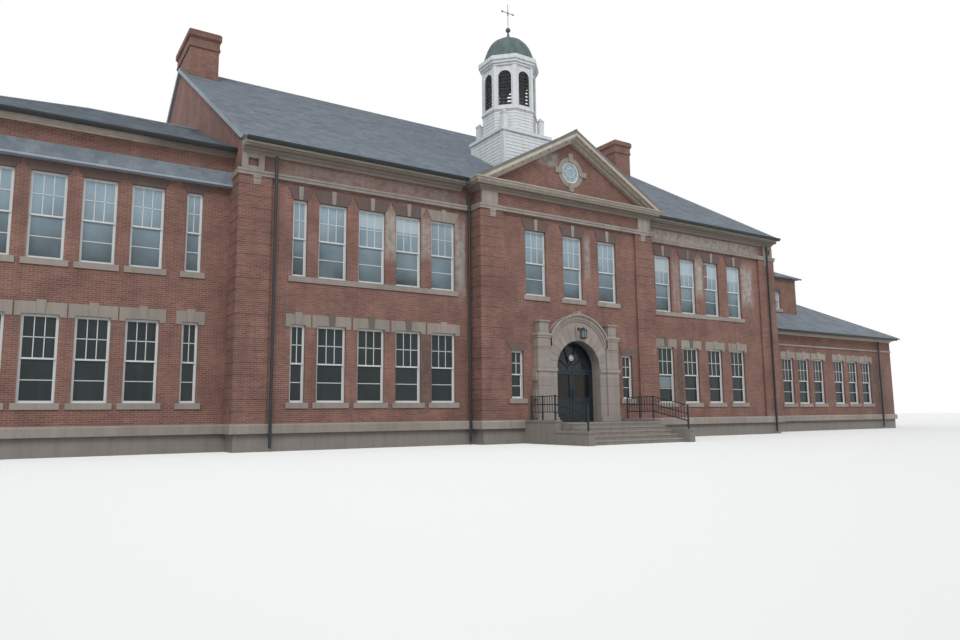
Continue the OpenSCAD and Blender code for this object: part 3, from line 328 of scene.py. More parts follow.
def patch_mask(
    tree: bpy.types.NodeTree,
    point: bpy.types.NodeSocket,
    patches: Iterable[Patch],
    ragged: float = 0.0,
) -> bpy.types.NodeSocket:
    """Draw patches on what faces the front.

    Args:
        tree: The material's node tree.
        point: The object coordinates.
        patches: The patches to draw.
        ragged: How much broken noise takes out of them.

    Returns:
        How much of the colour under them is hidden, from 0 to 1.
    """
    total: bpy.types.NodeSocket | None = None
    for patch in patches:
        local = add(
            tree,
            "ShaderNodeMapping",
            {
                "Vector": point,
                "Location": (-patch.x / patch.half_w, 0.0, -patch.z / patch.half_h),
                "Scale": (1 / patch.half_w, 0.0, 1 / patch.half_h),
            },
        )
        off = add(
            tree, "ShaderNodeVectorMath", {0: local.outputs["Vector"]}, operation="ABSOLUTE"
        )
        sides = add(tree, "ShaderNodeSeparateXYZ", {"Vector": off.outputs["Vector"]})
        reach = add(
            tree, "ShaderNodeMath", {0: sides.outputs["X"], 1: sides.outputs["Z"]},
            operation="MAXIMUM",
        )
        mask = add(
            tree,
            "ShaderNodeMapRange",
            {
                "Value": reach.outputs[0],
                "From Min": 1.0 + patch.soft / 2,
                "From Max": 1.0 - patch.soft,
                "To Min": 0.0,
                "To Max": patch.strength,
            },
            interpolation_type="SMOOTHSTEP",
        ).outputs["Result"]
        if total is not None:
            mask = add(tree, "ShaderNodeMath", {0: mask, 1: total}, operation="MAXIMUM").outputs[0]
        total = mask
    if ragged:
        broken = add(tree, "ShaderNodeTexNoise", {"Vector": point, "Scale": 9.0, "Detail": 9.0})
        kept = add(
            tree,
            "ShaderNodeMapRange",
            {
                "Value": broken.outputs["Fac"],
                "From Min": 0.36,
                "From Max": 0.56,
                "To Min": 1.0 - ragged,
            },
        )
        total = add(
            tree, "ShaderNodeMath", {0: total, 1: kept.outputs["Result"]}, operation="MULTIPLY"
        ).outputs[0]
    return total


@dataclass(frozen=True)
class Brickwork(Finish):
    """Stretcher brickwork in mortar, laid on whichever side the wall faces.

    Attributes:
        mortar: Colour of the joints.
        brick_mm: Length of a brick with its joint on the real building.
        course_mm: Height of a course with its joint on the real building.
        joint_mm: Thickness of a mortar joint on the real building.
        pale: Lime blooms.
        dark: Patches of sooty brick.
        plain: Where the wall is stone.
    """

    mortar: str = "#94877e"
    brick_mm: float = 213.0
    course_mm: float = 67.7
    joint_mm: float = 10.0
    pale: tuple[Patch, ...] = ()
    dark: tuple[Patch, ...] = ()
    plain: tuple[Patch, ...] = ()

    def pattern(
        self, tree: bpy.types.NodeTree, point: bpy.types.NodeSocket
    ) -> tuple[bpy.types.NodeSocket, bpy.types.NodeSocket]:
        """Draw the bricks, their joints and their blooms.

        Args:
            tree: The material's node tree.
            point: The object coordinates.

        Returns:
            The colour and the bumped normal.
        """
        facing = add(tree, "ShaderNodeTexCoord").outputs["Normal"]
        turned = add(tree, "ShaderNodeSeparateXYZ", {"Vector": facing})
        across = add(tree, "ShaderNodeMath", {0: turned.outputs["X"]}, operation="ABSOLUTE")
        sideways = add(
            tree, "ShaderNodeMath", {0: across.outputs[0], 1: 0.7}, operation="GREATER_THAN"
        )
        place = add(tree, "ShaderNodeSeparateXYZ", {"Vector": point})
        along = add(
            tree,
            "ShaderNodeMix",
            {0: sideways.outputs[0], 2: place.outputs["X"], 3: place.outputs["Y"]},
            data_type="FLOAT",
        )
        flat = add(
            tree,
            "ShaderNodeCombineXYZ",
            {"X": along.outputs[0], "Y": place.outputs["Z"]},
        ).outputs["Vector"]
        bricks = add(
            tree,
            "ShaderNodeTexBrick",
            {
                "Vector": flat,
                "Color1": linear(self.colour),
                "Color2": linear(self.second),
                "Mortar": linear(self.mortar),
                "Scale": 1.0,
                "Mortar Size": real_mm(self.joint_mm) / 2,
                "Mortar Smooth": 0.2,
                "Brick Width": real_mm(self.brick_mm),
                "Row Height": real_mm(self.course_mm),
            },
        )
        broad = add(tree, "ShaderNodeTexNoise", {"Vector": point, "Scale": 1.7, "Detail": 8.0})
        tone = add(
            tree,
            "ShaderNodeMapRange",
            {
                "Value": broad.outputs["Fac"],
                "From Min": 0.3,
                "From Max": 0.7,
                "To Min": 0.78,
                "To Max": 1.2,
            },
        )
        toned = add(
            tree,
            "ShaderNodeVectorMath",
            {0: bricks.outputs["Color"], "Scale": tone.outputs["Result"]},
            operation="SCALE",
        ).outputs["Vector"]
        for patches, colour, ragged in (
            (self.dark, "#4d4845", 0.55), (self.pale, "#aaa69f", 0.55), (self.plain, "#8b8279", 0.0)
        ):
            if patches:
                mask = patch_mask(tree, point, patches, ragged)
                toned = add(
                    tree,
                    "ShaderNodeMix",
                    {MIX_FACTOR: mask, MIX_A: toned, MIX_B: linear(colour)},
                    data_type="RGBA",
                ).outputs[MIX_OUT]
        joint = add(
            tree,
            "ShaderNodeBump",
            {
                "Height": bricks.outputs["Fac"],
                "Strength": 0.5,
                "Distance": 0.003,
                "Normal": self.grain(tree, point),
            },
            invert=True,
        )
        return toned, joint.outputs["Normal"]


@dataclass(frozen=True)
class MixedStone(Finish):
    """Stone with other stones among it, picked out by height and place on the front.

    Attributes:
        other: Colour of the other stones, and of the painted shade on the cornices.
        other_from: Height where the other stones start, or 0 for none.
        others: Single stones of the other colour, and on the cornices a band of painted shade.
        spared: Stones of the main colour among the others.
        block: Length of one stone of a course.
    """

    other: str = "#5c4e4b"
    other_from: float = 0.0
    others: tuple[Patch, ...] = ()
    spared: tuple[Patch, ...] = ()
    block: float = real_mm(900)

    def pattern(
        self, tree: bpy.types.NodeTree, point: bpy.types.NodeSocket
    ) -> tuple[bpy.types.NodeSocket, bpy.types.NodeSocket]:
        """Tint the other stones, and give each length of stone its own tone.

        Args:
            tree: The material's node tree.
            point: The object coordinates.

        Returns:
            The colour and the bumped normal.
        """
        clean, bump = super().pattern(tree, point)
        place = add(tree, "ShaderNodeSeparateXYZ", {"Vector": point})
        length = add(
            tree, "ShaderNodeMath", {0: place.outputs["X"], 1: self.block}, operation="SNAP"
        )
        own = add(tree, "ShaderNodeTexWhiteNoise", {"W": length.outputs[0]}, noise_dimensions="1D")
        tone = add(
            tree,
            "ShaderNodeMapRange",
            {"Value": own.outputs["Value"], "To Min": 0.86, "To Max": 1.1},
        )
        colour = add(
            tree, "ShaderNodeVectorMath", {0: clean, "Scale": tone.outputs["Result"]},
            operation="SCALE",
        ).outputs["Vector"]
        masks = []
        if self.other_from:
            masks.append(
                add(
                    tree, "ShaderNodeMath", {0: place.outputs["Z"], 1: self.other_from},
                    operation="GREATER_THAN",
                ).outputs[0]
            )
        if self.spared:
            kept = add(
                tree, "ShaderNodeMath", {0: 1.0, 1: patch_mask(tree, point, self.spared)},
                operation="SUBTRACT",
            )
            masks = [
                add(
                    tree, "ShaderNodeMath", {0: mask, 1: kept.outputs[0]}, operation="MULTIPLY"
                ).outputs[0]
                for mask in masks
            ]
        if self.others:
            masks.append(patch_mask(tree, point, self.others))
        for mask in masks:
            colour = add(
                tree, "ShaderNodeMix", {MIX_FACTOR: mask, MIX_A: colour, MIX_B: linear(self.other)},
                data_type="RGBA",
            ).outputs[MIX_OUT]
        return colour, bump


@dataclass(frozen=True)
class ArchStone(Finish):
    """Dressed stone of the portal, each stone with its own tone and the jambs with joints.

    Attributes:
        joint: Colour of the joints.
        springing: Height of the arch centre.
        voussoirs: Stones in half a circle.
        block: Height of a jamb block.
        joint_w: Width of a joint.
        arch_half: Half the width between the pilasters.
    """

    joint: str = "#6a625c"
    arch_half: float = 0.77
    springing: float = 1.52
    voussoirs: int = 15
    block: float = 0.186
    joint_w: float = real_mm(12)

    def pattern(
        self, tree: bpy.types.NodeTree, point: bpy.types.NodeSocket
    ) -> tuple[bpy.types.NodeSocket, bpy.types.NodeSocket]:
        """Draw level joints beside the arch, and give each arch stone its own tone.

        Args:
            tree: The material's node tree.
            point: The object coordinates.

        Returns:
            The colour and the bumped normal.
        """
        clean, bump = super().pattern(tree, point)
        place = add(tree, "ShaderNodeSeparateXYZ", {"Vector": point})
        rise = add(
            tree,
            "ShaderNodeMath",
            {0: place.outputs["Z"], 1: self.springing},
            operation="SUBTRACT",
        ).outputs[0]
        turn = add(
            tree, "ShaderNodeMath", {0: rise, 1: place.outputs["X"]}, operation="ARCTAN2"
        ).outputs[0]
        stone = add(
            tree, "ShaderNodeMath", {0: turn, 1: math.pi / self.voussoirs}, operation="SNAP"
        )
        off = add(tree, "ShaderNodeMath", {0: place.outputs["X"]}, operation="ABSOLUTE")
        beside = add(
            tree, "ShaderNodeMath", {0: off.outputs[0], 1: self.arch_half}, operation="GREATER_THAN"
        ).outputs[0]
        under = add(tree, "ShaderNodeMath", {0: rise, 1: 0.0}, operation="LESS_THAN").outputs[0]
        coursed = add(
            tree, "ShaderNodeMath", {0: beside, 1: under}, operation="MAXIMUM"
        ).outputs[0]
        course = add(
            tree, "ShaderNodeMath", {0: rise, 1: self.block}, operation="SNAP"
        ).outputs[0]
        seed = add(
            tree, "ShaderNodeMix", {0: coursed, 2: stone.outputs[0], 3: course}, data_type="FLOAT"
        ).outputs[0]
        own = add(tree, "ShaderNodeTexWhiteNoise", {"W": seed}, noise_dimensions="1D")
        tone = add(
            tree,
            "ShaderNodeMapRange",
            {"Value": own.outputs["Value"], "To Min": 0.9, "To Max": 1.1},
        )
        toned = add(
            tree, "ShaderNodeVectorMath", {0: clean, "Scale": tone.outputs["Result"]},
            operation="SCALE",
        ).outputs["Vector"]
        level = add(
            tree, "ShaderNodeMath", {0: rise, 1: self.block}, operation="PINGPONG"
        ).outputs[0]
        line = add(
            tree,
            "ShaderNodeMapRange",
            {"Value": level, "From Min": self.joint_w, "From Max": self.joint_w / 3},
        ).outputs["Result"]
        drawn = add(
            tree, "ShaderNodeMath", {0: line, 1: coursed}, operation="MULTIPLY"
        ).outputs[0]
        mixed = add(
            tree,
            "ShaderNodeMix",
            {MIX_FACTOR: drawn, MIX_A: toned, MIX_B: linear(self.joint)},
            data_type="RGBA",
        )
        return mixed.outputs[MIX_OUT], bump


@dataclass(frozen=True)
class SlateFinish(Finish):
    """Split slate: each slate has its own tone, kept on the mesh as an attribute."""

    tone_name: str = "tone"

    def pattern(
        self, tree: bpy.types.NodeTree, point: bpy.types.NodeSocket
    ) -> tuple[bpy.types.NodeSocket, bpy.types.NodeSocket]:
        """Tint each slate and mottle the roof.

        Args:
            tree: The material's node tree.
            point: The object coordinates.

        Returns:
            The colour and the bumped normal.
        """
        tone = add(tree, "ShaderNodeAttribute", attribute_name=self.tone_name).outputs["Fac"]
        broad = add(tree, "ShaderNodeTexNoise", {"Vector": point, "Scale": 2.4, "Detail": 7.0})
        mixed_tone = add(
            tree,
            "ShaderNodeMath",
            {0: tone, 1: 0.45, 2: broad.outputs["Fac"]},
            operation="MULTIPLY_ADD",
        ).outputs[0]
        factor = add(
            tree,
            "ShaderNodeMapRange",
            {"Value": mixed_tone, "From Min": 0.35, "From Max": 1.1},
        ).outputs["Result"]
        colour = add(
            tree,
            "ShaderNodeMix",
            {MIX_FACTOR: factor, MIX_A: linear(self.colour), MIX_B: linear(self.second)},
            data_type="RGBA",
        )
        return colour.outputs[MIX_OUT], self.grain(tree, point)


@dataclass(frozen=True)
class WindowGlass(Finish):
    """Old float panes before dark rooms, paler where they mirror the overcast sky.

    Attributes:
        sky: Colour of the mirrored sky, high on the building.
        high: Height where the panes are palest.
        low: Height where they are darkest.
        blinds: White roller blinds behind the panes.
        mirrored: Parts of a pane that mirror brick.
    """

    sky: str = "#8fa3ae"
    high: float = 4.3
    low: float = 2.2
    blinds: tuple[Patch, ...] = ()
    mirrored: tuple[Patch, ...] = ()

    def pattern(
        self, tree: bpy.types.NodeTree, point: bpy.types.NodeSocket
    ) -> tuple[bpy.types.NodeSocket, bpy.types.NodeSocket]:
        """Blend dark rooms with mirrored sky by height, with wavy reflections.

        Args:
            tree: The material's node tree.
            point: The object coordinates.

        Returns:
            The colour and the bumped normal.
        """
        place = add(tree, "ShaderNodeSeparateXYZ", {"Vector": point})
        wavy = add(tree, "ShaderNodeTexNoise", {"Vector": point, "Scale": 1.4, "Detail": 3.0})
        lifted = add(
            tree,
            "ShaderNodeMath",
            {0: wavy.outputs["Fac"], 1: 1.5, 2: place.outputs["Z"]},
            operation="MULTIPLY_ADD",
        ).outputs[0]
        factor = add(
            tree,
            "ShaderNodeMapRange",
            {"Value": lifted, "From Min": self.low + 1.2, "From Max": self.high + 0.75},
        ).outputs["Result"]
        dark = add(
            tree,
            "ShaderNodeMix",
            {
                MIX_FACTOR: wavy.outputs["Fac"],
                MIX_A: linear(self.colour),
                MIX_B: linear(self.second),
            },
            data_type="RGBA",
        ).outputs[MIX_OUT]
        colour = add(
            tree,
            "ShaderNodeMix",
            {MIX_FACTOR: factor, MIX_A: dark, MIX_B: linear(self.sky)},
            data_type="RGBA",
        ).outputs[MIX_OUT]
        for patches, tint in ((self.blinds, "#a9b9c1"), (self.mirrored, "#6d4a42")):
            colour = add(
                tree,
                "ShaderNodeMix",
                {MIX_FACTOR: patch_mask(tree, point, patches), MIX_A: colour, MIX_B: linear(tint)},
                data_type="RGBA",
            ).outputs[MIX_OUT]
        return colour, self.grain(tree, point)


def front_patches(
    xs: Iterable[float], z: float, half_w: float, half_h: float, strength: float = 0.9
) -> tuple[Patch, ...]:
    """Crisp patches of one size at one height of the front.

    Args:
        xs: Centres of the patches.
        z: Height of their centres.
        half_w: Half their width.
        half_h: Half their height.
        strength: How much of the colour under them they hide.

    Returns:
        The patches.
    """
    return tuple(Patch(x, z, half_w, half_h, strength, 0.02) for x in xs)


@dataclass(frozen=True)
class Palette:
    """Every finish of the building."""

    # Fired clay brick with lime blooms under the string and beside the windows
    front_brick: Brickwork = Brickwork(
        "front_brickwork",
        "#70493f",
        "#805a4f",
        "#564640",
        roughness=0.9,
        pale=(
            Patch(4.45, 3.95, 0.15, 0.5, 0.85),
            Patch(6.33, 3.9, 0.24, 0.55, 0.8),
            Patch(3.6, 3.7, 0.12, 0.7, 0.45),
            Patch(-2.63, 3.7, 0.13, 0.8, 0.8),
            Patch(-3.4, 4.0, 0.12, 0.42, 0.65),
            Patch(-4.17, 4.0, 0.12, 0.5, 0.75),
            Patch(0.41, 3.95, 0.09, 0.5, 0.6),
            Patch(-0.62, 6.02, 0.3, 0.17, 0.7),
            Patch(4.75, 4.91, 2.15, 0.12, 0.85, 0.2),
            Patch(-4.4, 4.91, 2.0, 0.12, 0.35, 0.3),
            Patch(4.7, 2.95, 0.5, 0.08, 0.4),
        ),
        plain=(Patch(0.0, 1.25, 0.61, 0.87, 1.0, 0.01),),
        dark=(
            Patch(3.6, 1.5, 0.13, 0.75, 0.85),
            Patch(-3.4, 1.4, 0.13, 0.7, 0.8),
            Patch(14.0, 1.4, 0.8, 0.9, 0.6),
        ),
    )
    # The same brick on the other sides, evenly weathered
    brick: Brickwork = Brickwork(
        "brickwork", "#70493f", "#805a4f", "#564640", roughness=0.9
    )
    # Sawn limestone: even, faintly pitted, grey where rain runs, with sooty lower keystones
    limestone: MixedStone = MixedStone(
        "sawn_limestone", "#8b827a", "#988f87", "#6a625c", roughness=0.85, grain_mm=4,
        other="#5d5551",
        others=(
            *front_patches((-5.315, -4.55, -3.785, 3.155, 4.038), 2.27, 0.075, 0.112),
            *front_patches((0.883, 4.038), 4.5, 0.055, 0.123, 0.7),
        ),
    )
    # Lintels: limestone below, brown sandstone above except over one window
    lintel_stone: MixedStone = MixedStone(
        "lintel_stone", "#8b8279", "#968d84", "#6f665f", roughness=0.85, grain_mm=4,
        other="#5f4f4b", other_from=4.37, spared=front_patches((-3.02,), 4.5, 0.5, 0.2),
        others=front_patches((-1.51, 1.51), 2.2, 0.35, 0.35),
    )
    # Dressed limestone of the portal with its joints
    portal_stone: ArchStone = ArchStone(
        "portal_limestone", "#8f867f", "#9a9189", "#6d645e", roughness=0.85, grain_mm=4
    )
    # Granite of the base and steps: coarser and greyer
    base_stone: Finish = Finish(
        "base_granite", "#7b7570", "#8b857f", "#5c5752", roughness=0.9, grain_mm=9
    )
    # Oil paint on wooden cornices, yellowed and grimy, with painted shade on the soffit band under
    # the top fillet
    cream_paint: MixedStone = MixedStone(
        "cream_oil_paint", "#a79e92", "#b3aa9e", "#6f655c", roughness=0.6, dirt_share=0.35,
        # The dark band from 5.03 to 5.2 m is painted shade of the soffit under the top fillet
        other="#675c54", others=(Patch(0.0, 5.115, 8.5, 0.085, 0.7, 0.05),), block=200.0,
    )
    # White oil paint on window joinery, kept up
    white_paint: Finish = Finish(
        "white_oil_paint", "#c6c9c9", "#d2d3d1", "#8d8b86", roughness=0.5, dirt_share=0.2
    )
    # The belfry's older white paint, greyed by soot
    belfry_paint: Finish = Finish(
        "belfry_oil_paint", "#c9ccce", "#d5d7d7", "#97958f", roughness=0.55, dirt_share=0.3
    )
    # Louvre boards of the belfry, painted dark for the shade inside the belfry
    louvre_paint: Finish = Finish(
        "louvre_painted_shade", "#4b4d4d", "#5c5d5b", "#33322f", roughness=0.7
    )
    # Black enamel on iron gutters, railings and the lantern
    dark_paint: Finish = Finish(
        "black_iron_enamel", "#1f2628", "#2b3234", "#4a4a46", roughness=0.45, dirt_share=0.15
    )
    # Blue-green gloss paint on the entrance doors
    door_paint: Finish = Finish(
        "door_gloss_paint", "#15212a", "#1a2a33", "#101416", roughness=0.4, dirt_share=0.3
    )
    # Split slate, blue-grey with each slate its own tone
    slate: SlateFinish = SlateFinish(
        "roof_slate", "#8a95a0", "#b0b8c0", "#7b8187", roughness=0.85, grain_mm=5, dirt_share=0.2
    )
    # Weathered board along the pediment's roof edge
    edge_board: Finish = Finish(
        "weathered_edge_board", "#6d6861", "#79736b", "#4c4843", roughness=0.8
    )
    # Float glass before dark rooms, white blinds and a mirrored chimney breast
    glass: WindowGlass = WindowGlass(
        "window_glass", "#161c1d", "#2e3938", "#5c6468", roughness=0.12, grain_depth=0.02,
        dirt_share=0.1, specular=0.3,
        blinds=(
            *front_patches((-4.55, -3.785), 4.22, 0.23, 0.15),
            *front_patches((3.155, 4.038, 4.921, 5.804), 4.18, 0.23, 0.2, 0.8),
            *front_patches((3.155,), 1.31, 0.23, 0.13, 0.4),
        ),
        mirrored=front_patches((4.765,), 4.03, 0.08, 0.33, 0.85),
    )
    # Float glass of the doors before a dark hall
    door_glass: Finish = Finish(
        "door_glass", "#141312", "#231e1a", "#3a3733", roughness=0.15, grain_depth=0.02,
        dirt_share=0.1, specular=0.3,
    )
    # Frosted glass of the lantern
    lantern_glass: Finish = Finish(
        "lantern_glass", "#6d7578", "#7f8689", "#565b5d", roughness=0.3, dirt_share=0.2
    )
    # Copper sheet gone grey-green, with brown where rain wears it
    copper: Finish = Finish(
        "weathered_copper", "#4e6260", "#5c7270", "#48413b", roughness=0.75, dirt_share=0.8
    )
    # Pine floor boards under varnish
    floor: Finish = Finish("pine_boards", "#8d7b63", "#7c6a54", "#5e5041", roughness=0.5)
    # Lead roll over ridges and hips
    lead: Finish = Finish("sheet_lead", "#6c7378", "#858b8e", "#4d5256", roughness=0.6)


NODE_FINISHES = {
    "front_brick": ("front_wall_left", "front_wall_right", "pavilion_wall_left",
        "pavilion_wall_right", "pavilion_wall_over", "pediment_wall", "wing_front_walls",
        "corner_piers"),
    "brick": ("rear_walls", "end_walls", "chimneys"),
    "limestone": ("stone_courses", "window_sills", "oculus"),
    "lintel_stone": ("window_lintels",),
    "portal_stone": ("portal_jambs", "portal_arch"),
    "base_stone": ("stone_base", "entrance_steps", "stair_cheeks"),
    "cream_paint": ("cornices", "pediment_cornice"),
    "white_paint": ("window_frames",),
    "belfry_paint": ("cupola_base", "belfry", "cupola_cornice"),
    "louvre_paint": ("louvres",),
    "dark_paint": ("gutters", "railings", "wall_lantern", "weathervane"),
    "door_paint": ("door_jambs", "fanlight", "door_left", "door_right"),
    "slate": ("roof_front", "roof_rear", "wing_roofs"),
    "edge_board": ("pediment_roof",),
    "glass": ("window_glass",),
    "door_glass": ("door_left_glass", "door_right_glass"),
    "copper": ("cupola_dome", "finial"),
    "floor": ("floors",),
}


class PaintShop:
    """Makes each material once and puts it on the CAD nodes."""

    def __init__(self, palette: Palette) -> None:
        """Build every material of the palette.

        Args:
            palette: The building's finishes.
        """
        self.materials = {name: finish.material() for name, finish in vars_of(palette)}

    def dress_nodes(self) -> None:
        """Give every CAD node its material."""
        for finish, nodes in NODE_FINISHES.items():
            for name in nodes:
                mesh = frame["nodes"][name].data
                mesh.materials.clear()
                mesh.materials.append(self.materials[finish])
        dressed = sum(len(nodes) for nodes in NODE_FINISHES.values())
        log.info("%d of %d CAD nodes dressed", dressed, len(frame["nodes"]))


def vars_of(palette: Palette) -> Iterator[tuple[str, Finish]]:
    """List a palette's finishes by name.

    Args:
        palette: The building's finishes.

    Yields:
        The field's name and its finish.
    """
    for name in palette.__dataclass_fields__:
        yield name, getattr(palette, name)


@dataclass
class Workpiece:
    """A mesh in the making that ends as one object on a body.

    Attributes:
        name: The object's name.
        bm: The mesh being worked.
    """

    name: str
    bm: bmesh.types.BMesh = field(default_factory=bmesh.new)

    def block(self, low: Vector, high: Vector, turn: Matrix | None = None) -> list[Any]:
        """Add a box from its low to its high corner.

        Args:
            low: Low corner.
            high: High corner.
            turn: A transform put on the finished box.

        Returns:
            The box's vertices.
        """
        size, middle = high - low, (high + low) / 2
        place = Matrix.Translation(middle) @ Matrix.Diagonal((*size, 1.0))
        made = bmesh.ops.create_cube(self.bm, size=1.0, matrix=(turn or Matrix()) @ place)
        return made["verts"]

    def rod(self, start: Vector, end: Vector, radius: float, sides: int = 8) -> list[Any]:
        """Add a round bar between two points.

        Args:
            start: Middle of one end.
            end: Middle of the other end.
            radius: Radius of the bar.
            sides: Sides of its section.

        Returns:
            The bar's vertices.
        """
        way = end - start
        turn = UP.rotation_difference(way).to_matrix().to_4x4()
        place = Matrix.Translation((start + end) / 2) @ turn
        made = bmesh.ops.create_cone(
            self.bm, cap_ends=True, segments=sides, radius1=radius, radius2=radius,
            depth=way.length, matrix=place,
        )
        return made["verts"]

    def slab(
        self, outline: list[tuple[float, float]], y0: float, y1: float, turn: Matrix | None = None
    ) -> None:
        """Extrude an outline of x and z from its front to its back.

        Args:
            outline: The outline's points in order.
            y0: Front of the slab.
            y1: Back of the slab.
            turn: A transform put on the finished slab.
        """
        face = self.bm.faces.new([self.bm.verts.new((x, y0, z)) for x, z in outline])
        grown = bmesh.ops.extrude_face_region(self.bm, geom=[face], use_keep_orig=True)
        back = [v for v in grown["geom"] if isinstance(v, bmesh.types.BMVert)]
        bmesh.ops.translate(self.bm, verts=back, vec=(0, y1 - y0, 0))
        if turn:
            bmesh.ops.transform(self.bm, matrix=turn, verts=[*face.verts, *back])

    def done(
        self, body: Body, slot: Slot, material: bpy.types.Material, bevel: float = 0.0
    ) -> bpy.types.Object:
        """Finish the mesh as an object on its body.

        Args:
            body: The body that it rides on.
            slot: The slot of its finish. Not used.
            material: Its material.
            bevel: Width of the edge bevel, or 0 for none.

        Returns:
            The new object.
        """
        if bevel:
            bmesh.ops.bevel(
                self.bm, geom=self.bm.edges[:], offset=bevel, segments=1, profile=0.5,
                affect="EDGES", material=-1,
            )
        bmesh.ops.recalc_face_normals(self.bm, faces=self.bm.faces)
        for vert in self.bm.verts:
            vert.co = Vector(map(max, CAD_BOX[0], map(min, CAD_BOX[1], vert.co)))
        mesh = bpy.data.meshes.new(self.name)
        self.bm.to_mesh(mesh)
        self.bm.free()
        mesh.materials.append(material)
        made = bpy.data.objects.new(self.name, mesh)
        bpy.context.scene.collection.objects.link(made)
        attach(made, body.value)
        log.info("%s: %d faces on %s", self.name, len(mesh.polygons), body.value)
        return made


def arc(
    middle: tuple[float, float], radius: float, start: float, end: float, steps: int = 16
) -> list[tuple[float, float]]:
    """Points along part of a circle.

    Args:
        middle: Centre as x and z.
        radius: Radius.
        start: First angle in degrees, from the right and upwards.
        end: Last angle in degrees.
        steps: Number of chords.

    Returns:
        The points as x and z.
    """
    turns = [math.radians(start + (end - start) * i / steps) for i in range(steps + 1)]
    return [(middle[0] + radius * math.cos(t), middle[1] + radius * math.sin(t)) for t in turns]


def mirrored(outline: list[tuple[float, float]]) -> list[tuple[float, float]]:
    """The same outline on the other side of the doorway."""
    return [(-x, z) for x, z in reversed(outline)]


def islands(node: str) -> list[tuple[Vector, Vector]]:
    """Find the separate solids of a CAD node.

    Args:
        node: The node's name.

    Returns:
        The low and high corner of each solid, in a fixed order.
    """
    bm = bmesh.new()
    bm.from_mesh(frame["nodes"][node].data)
    bmesh.ops.remove_doubles(bm, verts=bm.verts, dist=1e-5)
    seen: set[int] = set()
    boxes = []
    for start in bm.verts:
        if start.index in seen:
            continue
        seen.add(start.index)
        heap, low, high = [start], start.co.copy(), start.co.copy()
        while heap:
            vert = heap.pop()
            low = Vector(map(min, low, vert.co))
            high = Vector(map(max, high, vert.co))
            for edge in vert.link_edges:
                other = edge.other_vert(vert)
                if other.index not in seen:
                    seen.add(other.index)
                    heap.append(other)
        boxes.append((low, high))
    bm.free()
    return sorted(boxes, key=lambda b: (round(b[0].x, 3), round(b[0].y, 3), round(b[0].z, 3)))


@dataclass
class SashBars:
    """Glazing bars: three panes wide and two high in an upper sash, two high in a lower one.

    Attributes:
        width: Face width of a bar.
        depth: Depth of a bar through the glass.
        wide: Least width of glass that takes three panes.
        round_glass: Width of the round window's glass and of the fanlight's.
    """

    width: float = real_mm(26)
    depth: float = real_mm(36)
    wide: float = 0.35
    round_glass: float = 0.9

    def build(self, shop: PaintShop) -> None:
        """Model the bars of every pane on the building.

        Args:
            shop: The finishes.
        """
        work = Workpiece("sash_bars")
        panes = [pane for pane in islands("window_glass") if self.takes_bars(*pane)]
        for low, high in panes:
            along = 1 if high.x - low.x < high.y - low.y else 0
            upper = any(self.is_under(other, (low, high)) for other in panes)
            columns = 1 if not upper else 3 if high[along] - low[along] > self.wide else 2
            for i in range(1, columns):
                self.bar(work, low, high, along, i / columns)
            self.bar(work, low, high, 2, 0.5)
        work.done(Body.BUILDING, Slot.WHITE, shop.materials["white_paint"])

    def takes_bars(self, low: Vector, high: Vector) -> bool:
        """Tell a sash's pane from a round one or a small one."""
        wide = max(high.x - low.x, high.y - low.y)
        tall = high.z - low.z
        return tall > 0.25 and abs(wide / tall - 1) > 0.02 and wide < self.round_glass

    def is_under(self, lower: tuple[Vector, Vector], upper: tuple[Vector, Vector]) -> bool:
        """Tell whether one pane is the lower sash of another's window.

        Args:
            lower: Corners of the pane that may be under.
            upper: Corners of the pane that may be over it.

        Returns:
            True where the two share a window.
        """
        middle = (lower[0] + lower[1]) / 2 - (upper[0] + upper[1]) / 2
        beside = max(abs(middle.x), abs(middle.y))
        gap = upper[0].z - lower[1].z
        return beside < real_mm(160) and -real_mm(60) < gap < real_mm(300)

    def bar(self, work: Workpiece, low: Vector, high: Vector, axis: int, share: float) -> None:
        """Add one bar across a pane.

        Args:
            work: The mesh being made.
            low: The pane's low corner.
            high: The pane's high corner.
            axis: The axis that the share runs along.
            share: Where the bar stands on that axis, from 0 to 1.
        """
        a, b = low.copy(), high.copy()
        thin = 0 if high.x - low.x < high.y - low.y else 1
        middle = (low[thin] + high[thin]) / 2
        a[thin], b[thin] = middle - self.depth / 2, middle + self.depth / 2
        at = low[axis] + share * (high[axis] - low[axis])
        a[axis], b[axis] = at - self.width / 2, at + self.width / 2
        work.block(a, b)


@dataclass
class Slope:
    """A flat roof slope of a CAD node, in its own level and rising axes.

    Attributes:
        normal: Outward normal.
        level: Level axis along the courses.
        rise: Axis up the slope.
        origin: A point of the slope's plane.
        triangles: The slope's triangles in level and rise coordinates.
    """

    normal: Vector
    level: Vector
    rise: Vector
    origin: Vector
    triangles: list[list[tuple[float, float]]]

    def spans(self, v: float) -> list[tuple[float, float]]:
        """Find where a level line lies on the slope.

        Args:
            v: Distance of the line up the slope.

        Returns:
            Start and end of each stretch, from left to right.
        """
        found = []
        for triangle in self.triangles:
            us = []
            for (u0, v0), (u1, v1) in zip(triangle, triangle[1:] + triangle[:1]):
                if (v0 - v) * (v1 - v) < 0:
                    us.append(u0 + (u1 - u0) * (v - v0) / (v1 - v0))
            if len(us) == 2:
                found.append((min(us), max(us)))
        merged: list[tuple[float, float]] = []
        for start, end in sorted(found):
            if merged and start <= merged[-1][1] + MM:
                merged[-1] = (merged[-1][0], max(end, merged[-1][1]))
            else:
                merged.append((start, end))
        return merged

    def point(self, u: float, v: float, lift: float) -> Vector:
        """Place a point of the slope.

        Args:
            u: Distance along the courses.
            v: Distance up the slope.
            lift: Height over the slope.

        Returns:
            The point in model metres.
        """
        return self.origin + self.level * u + self.rise * v + self.normal * lift


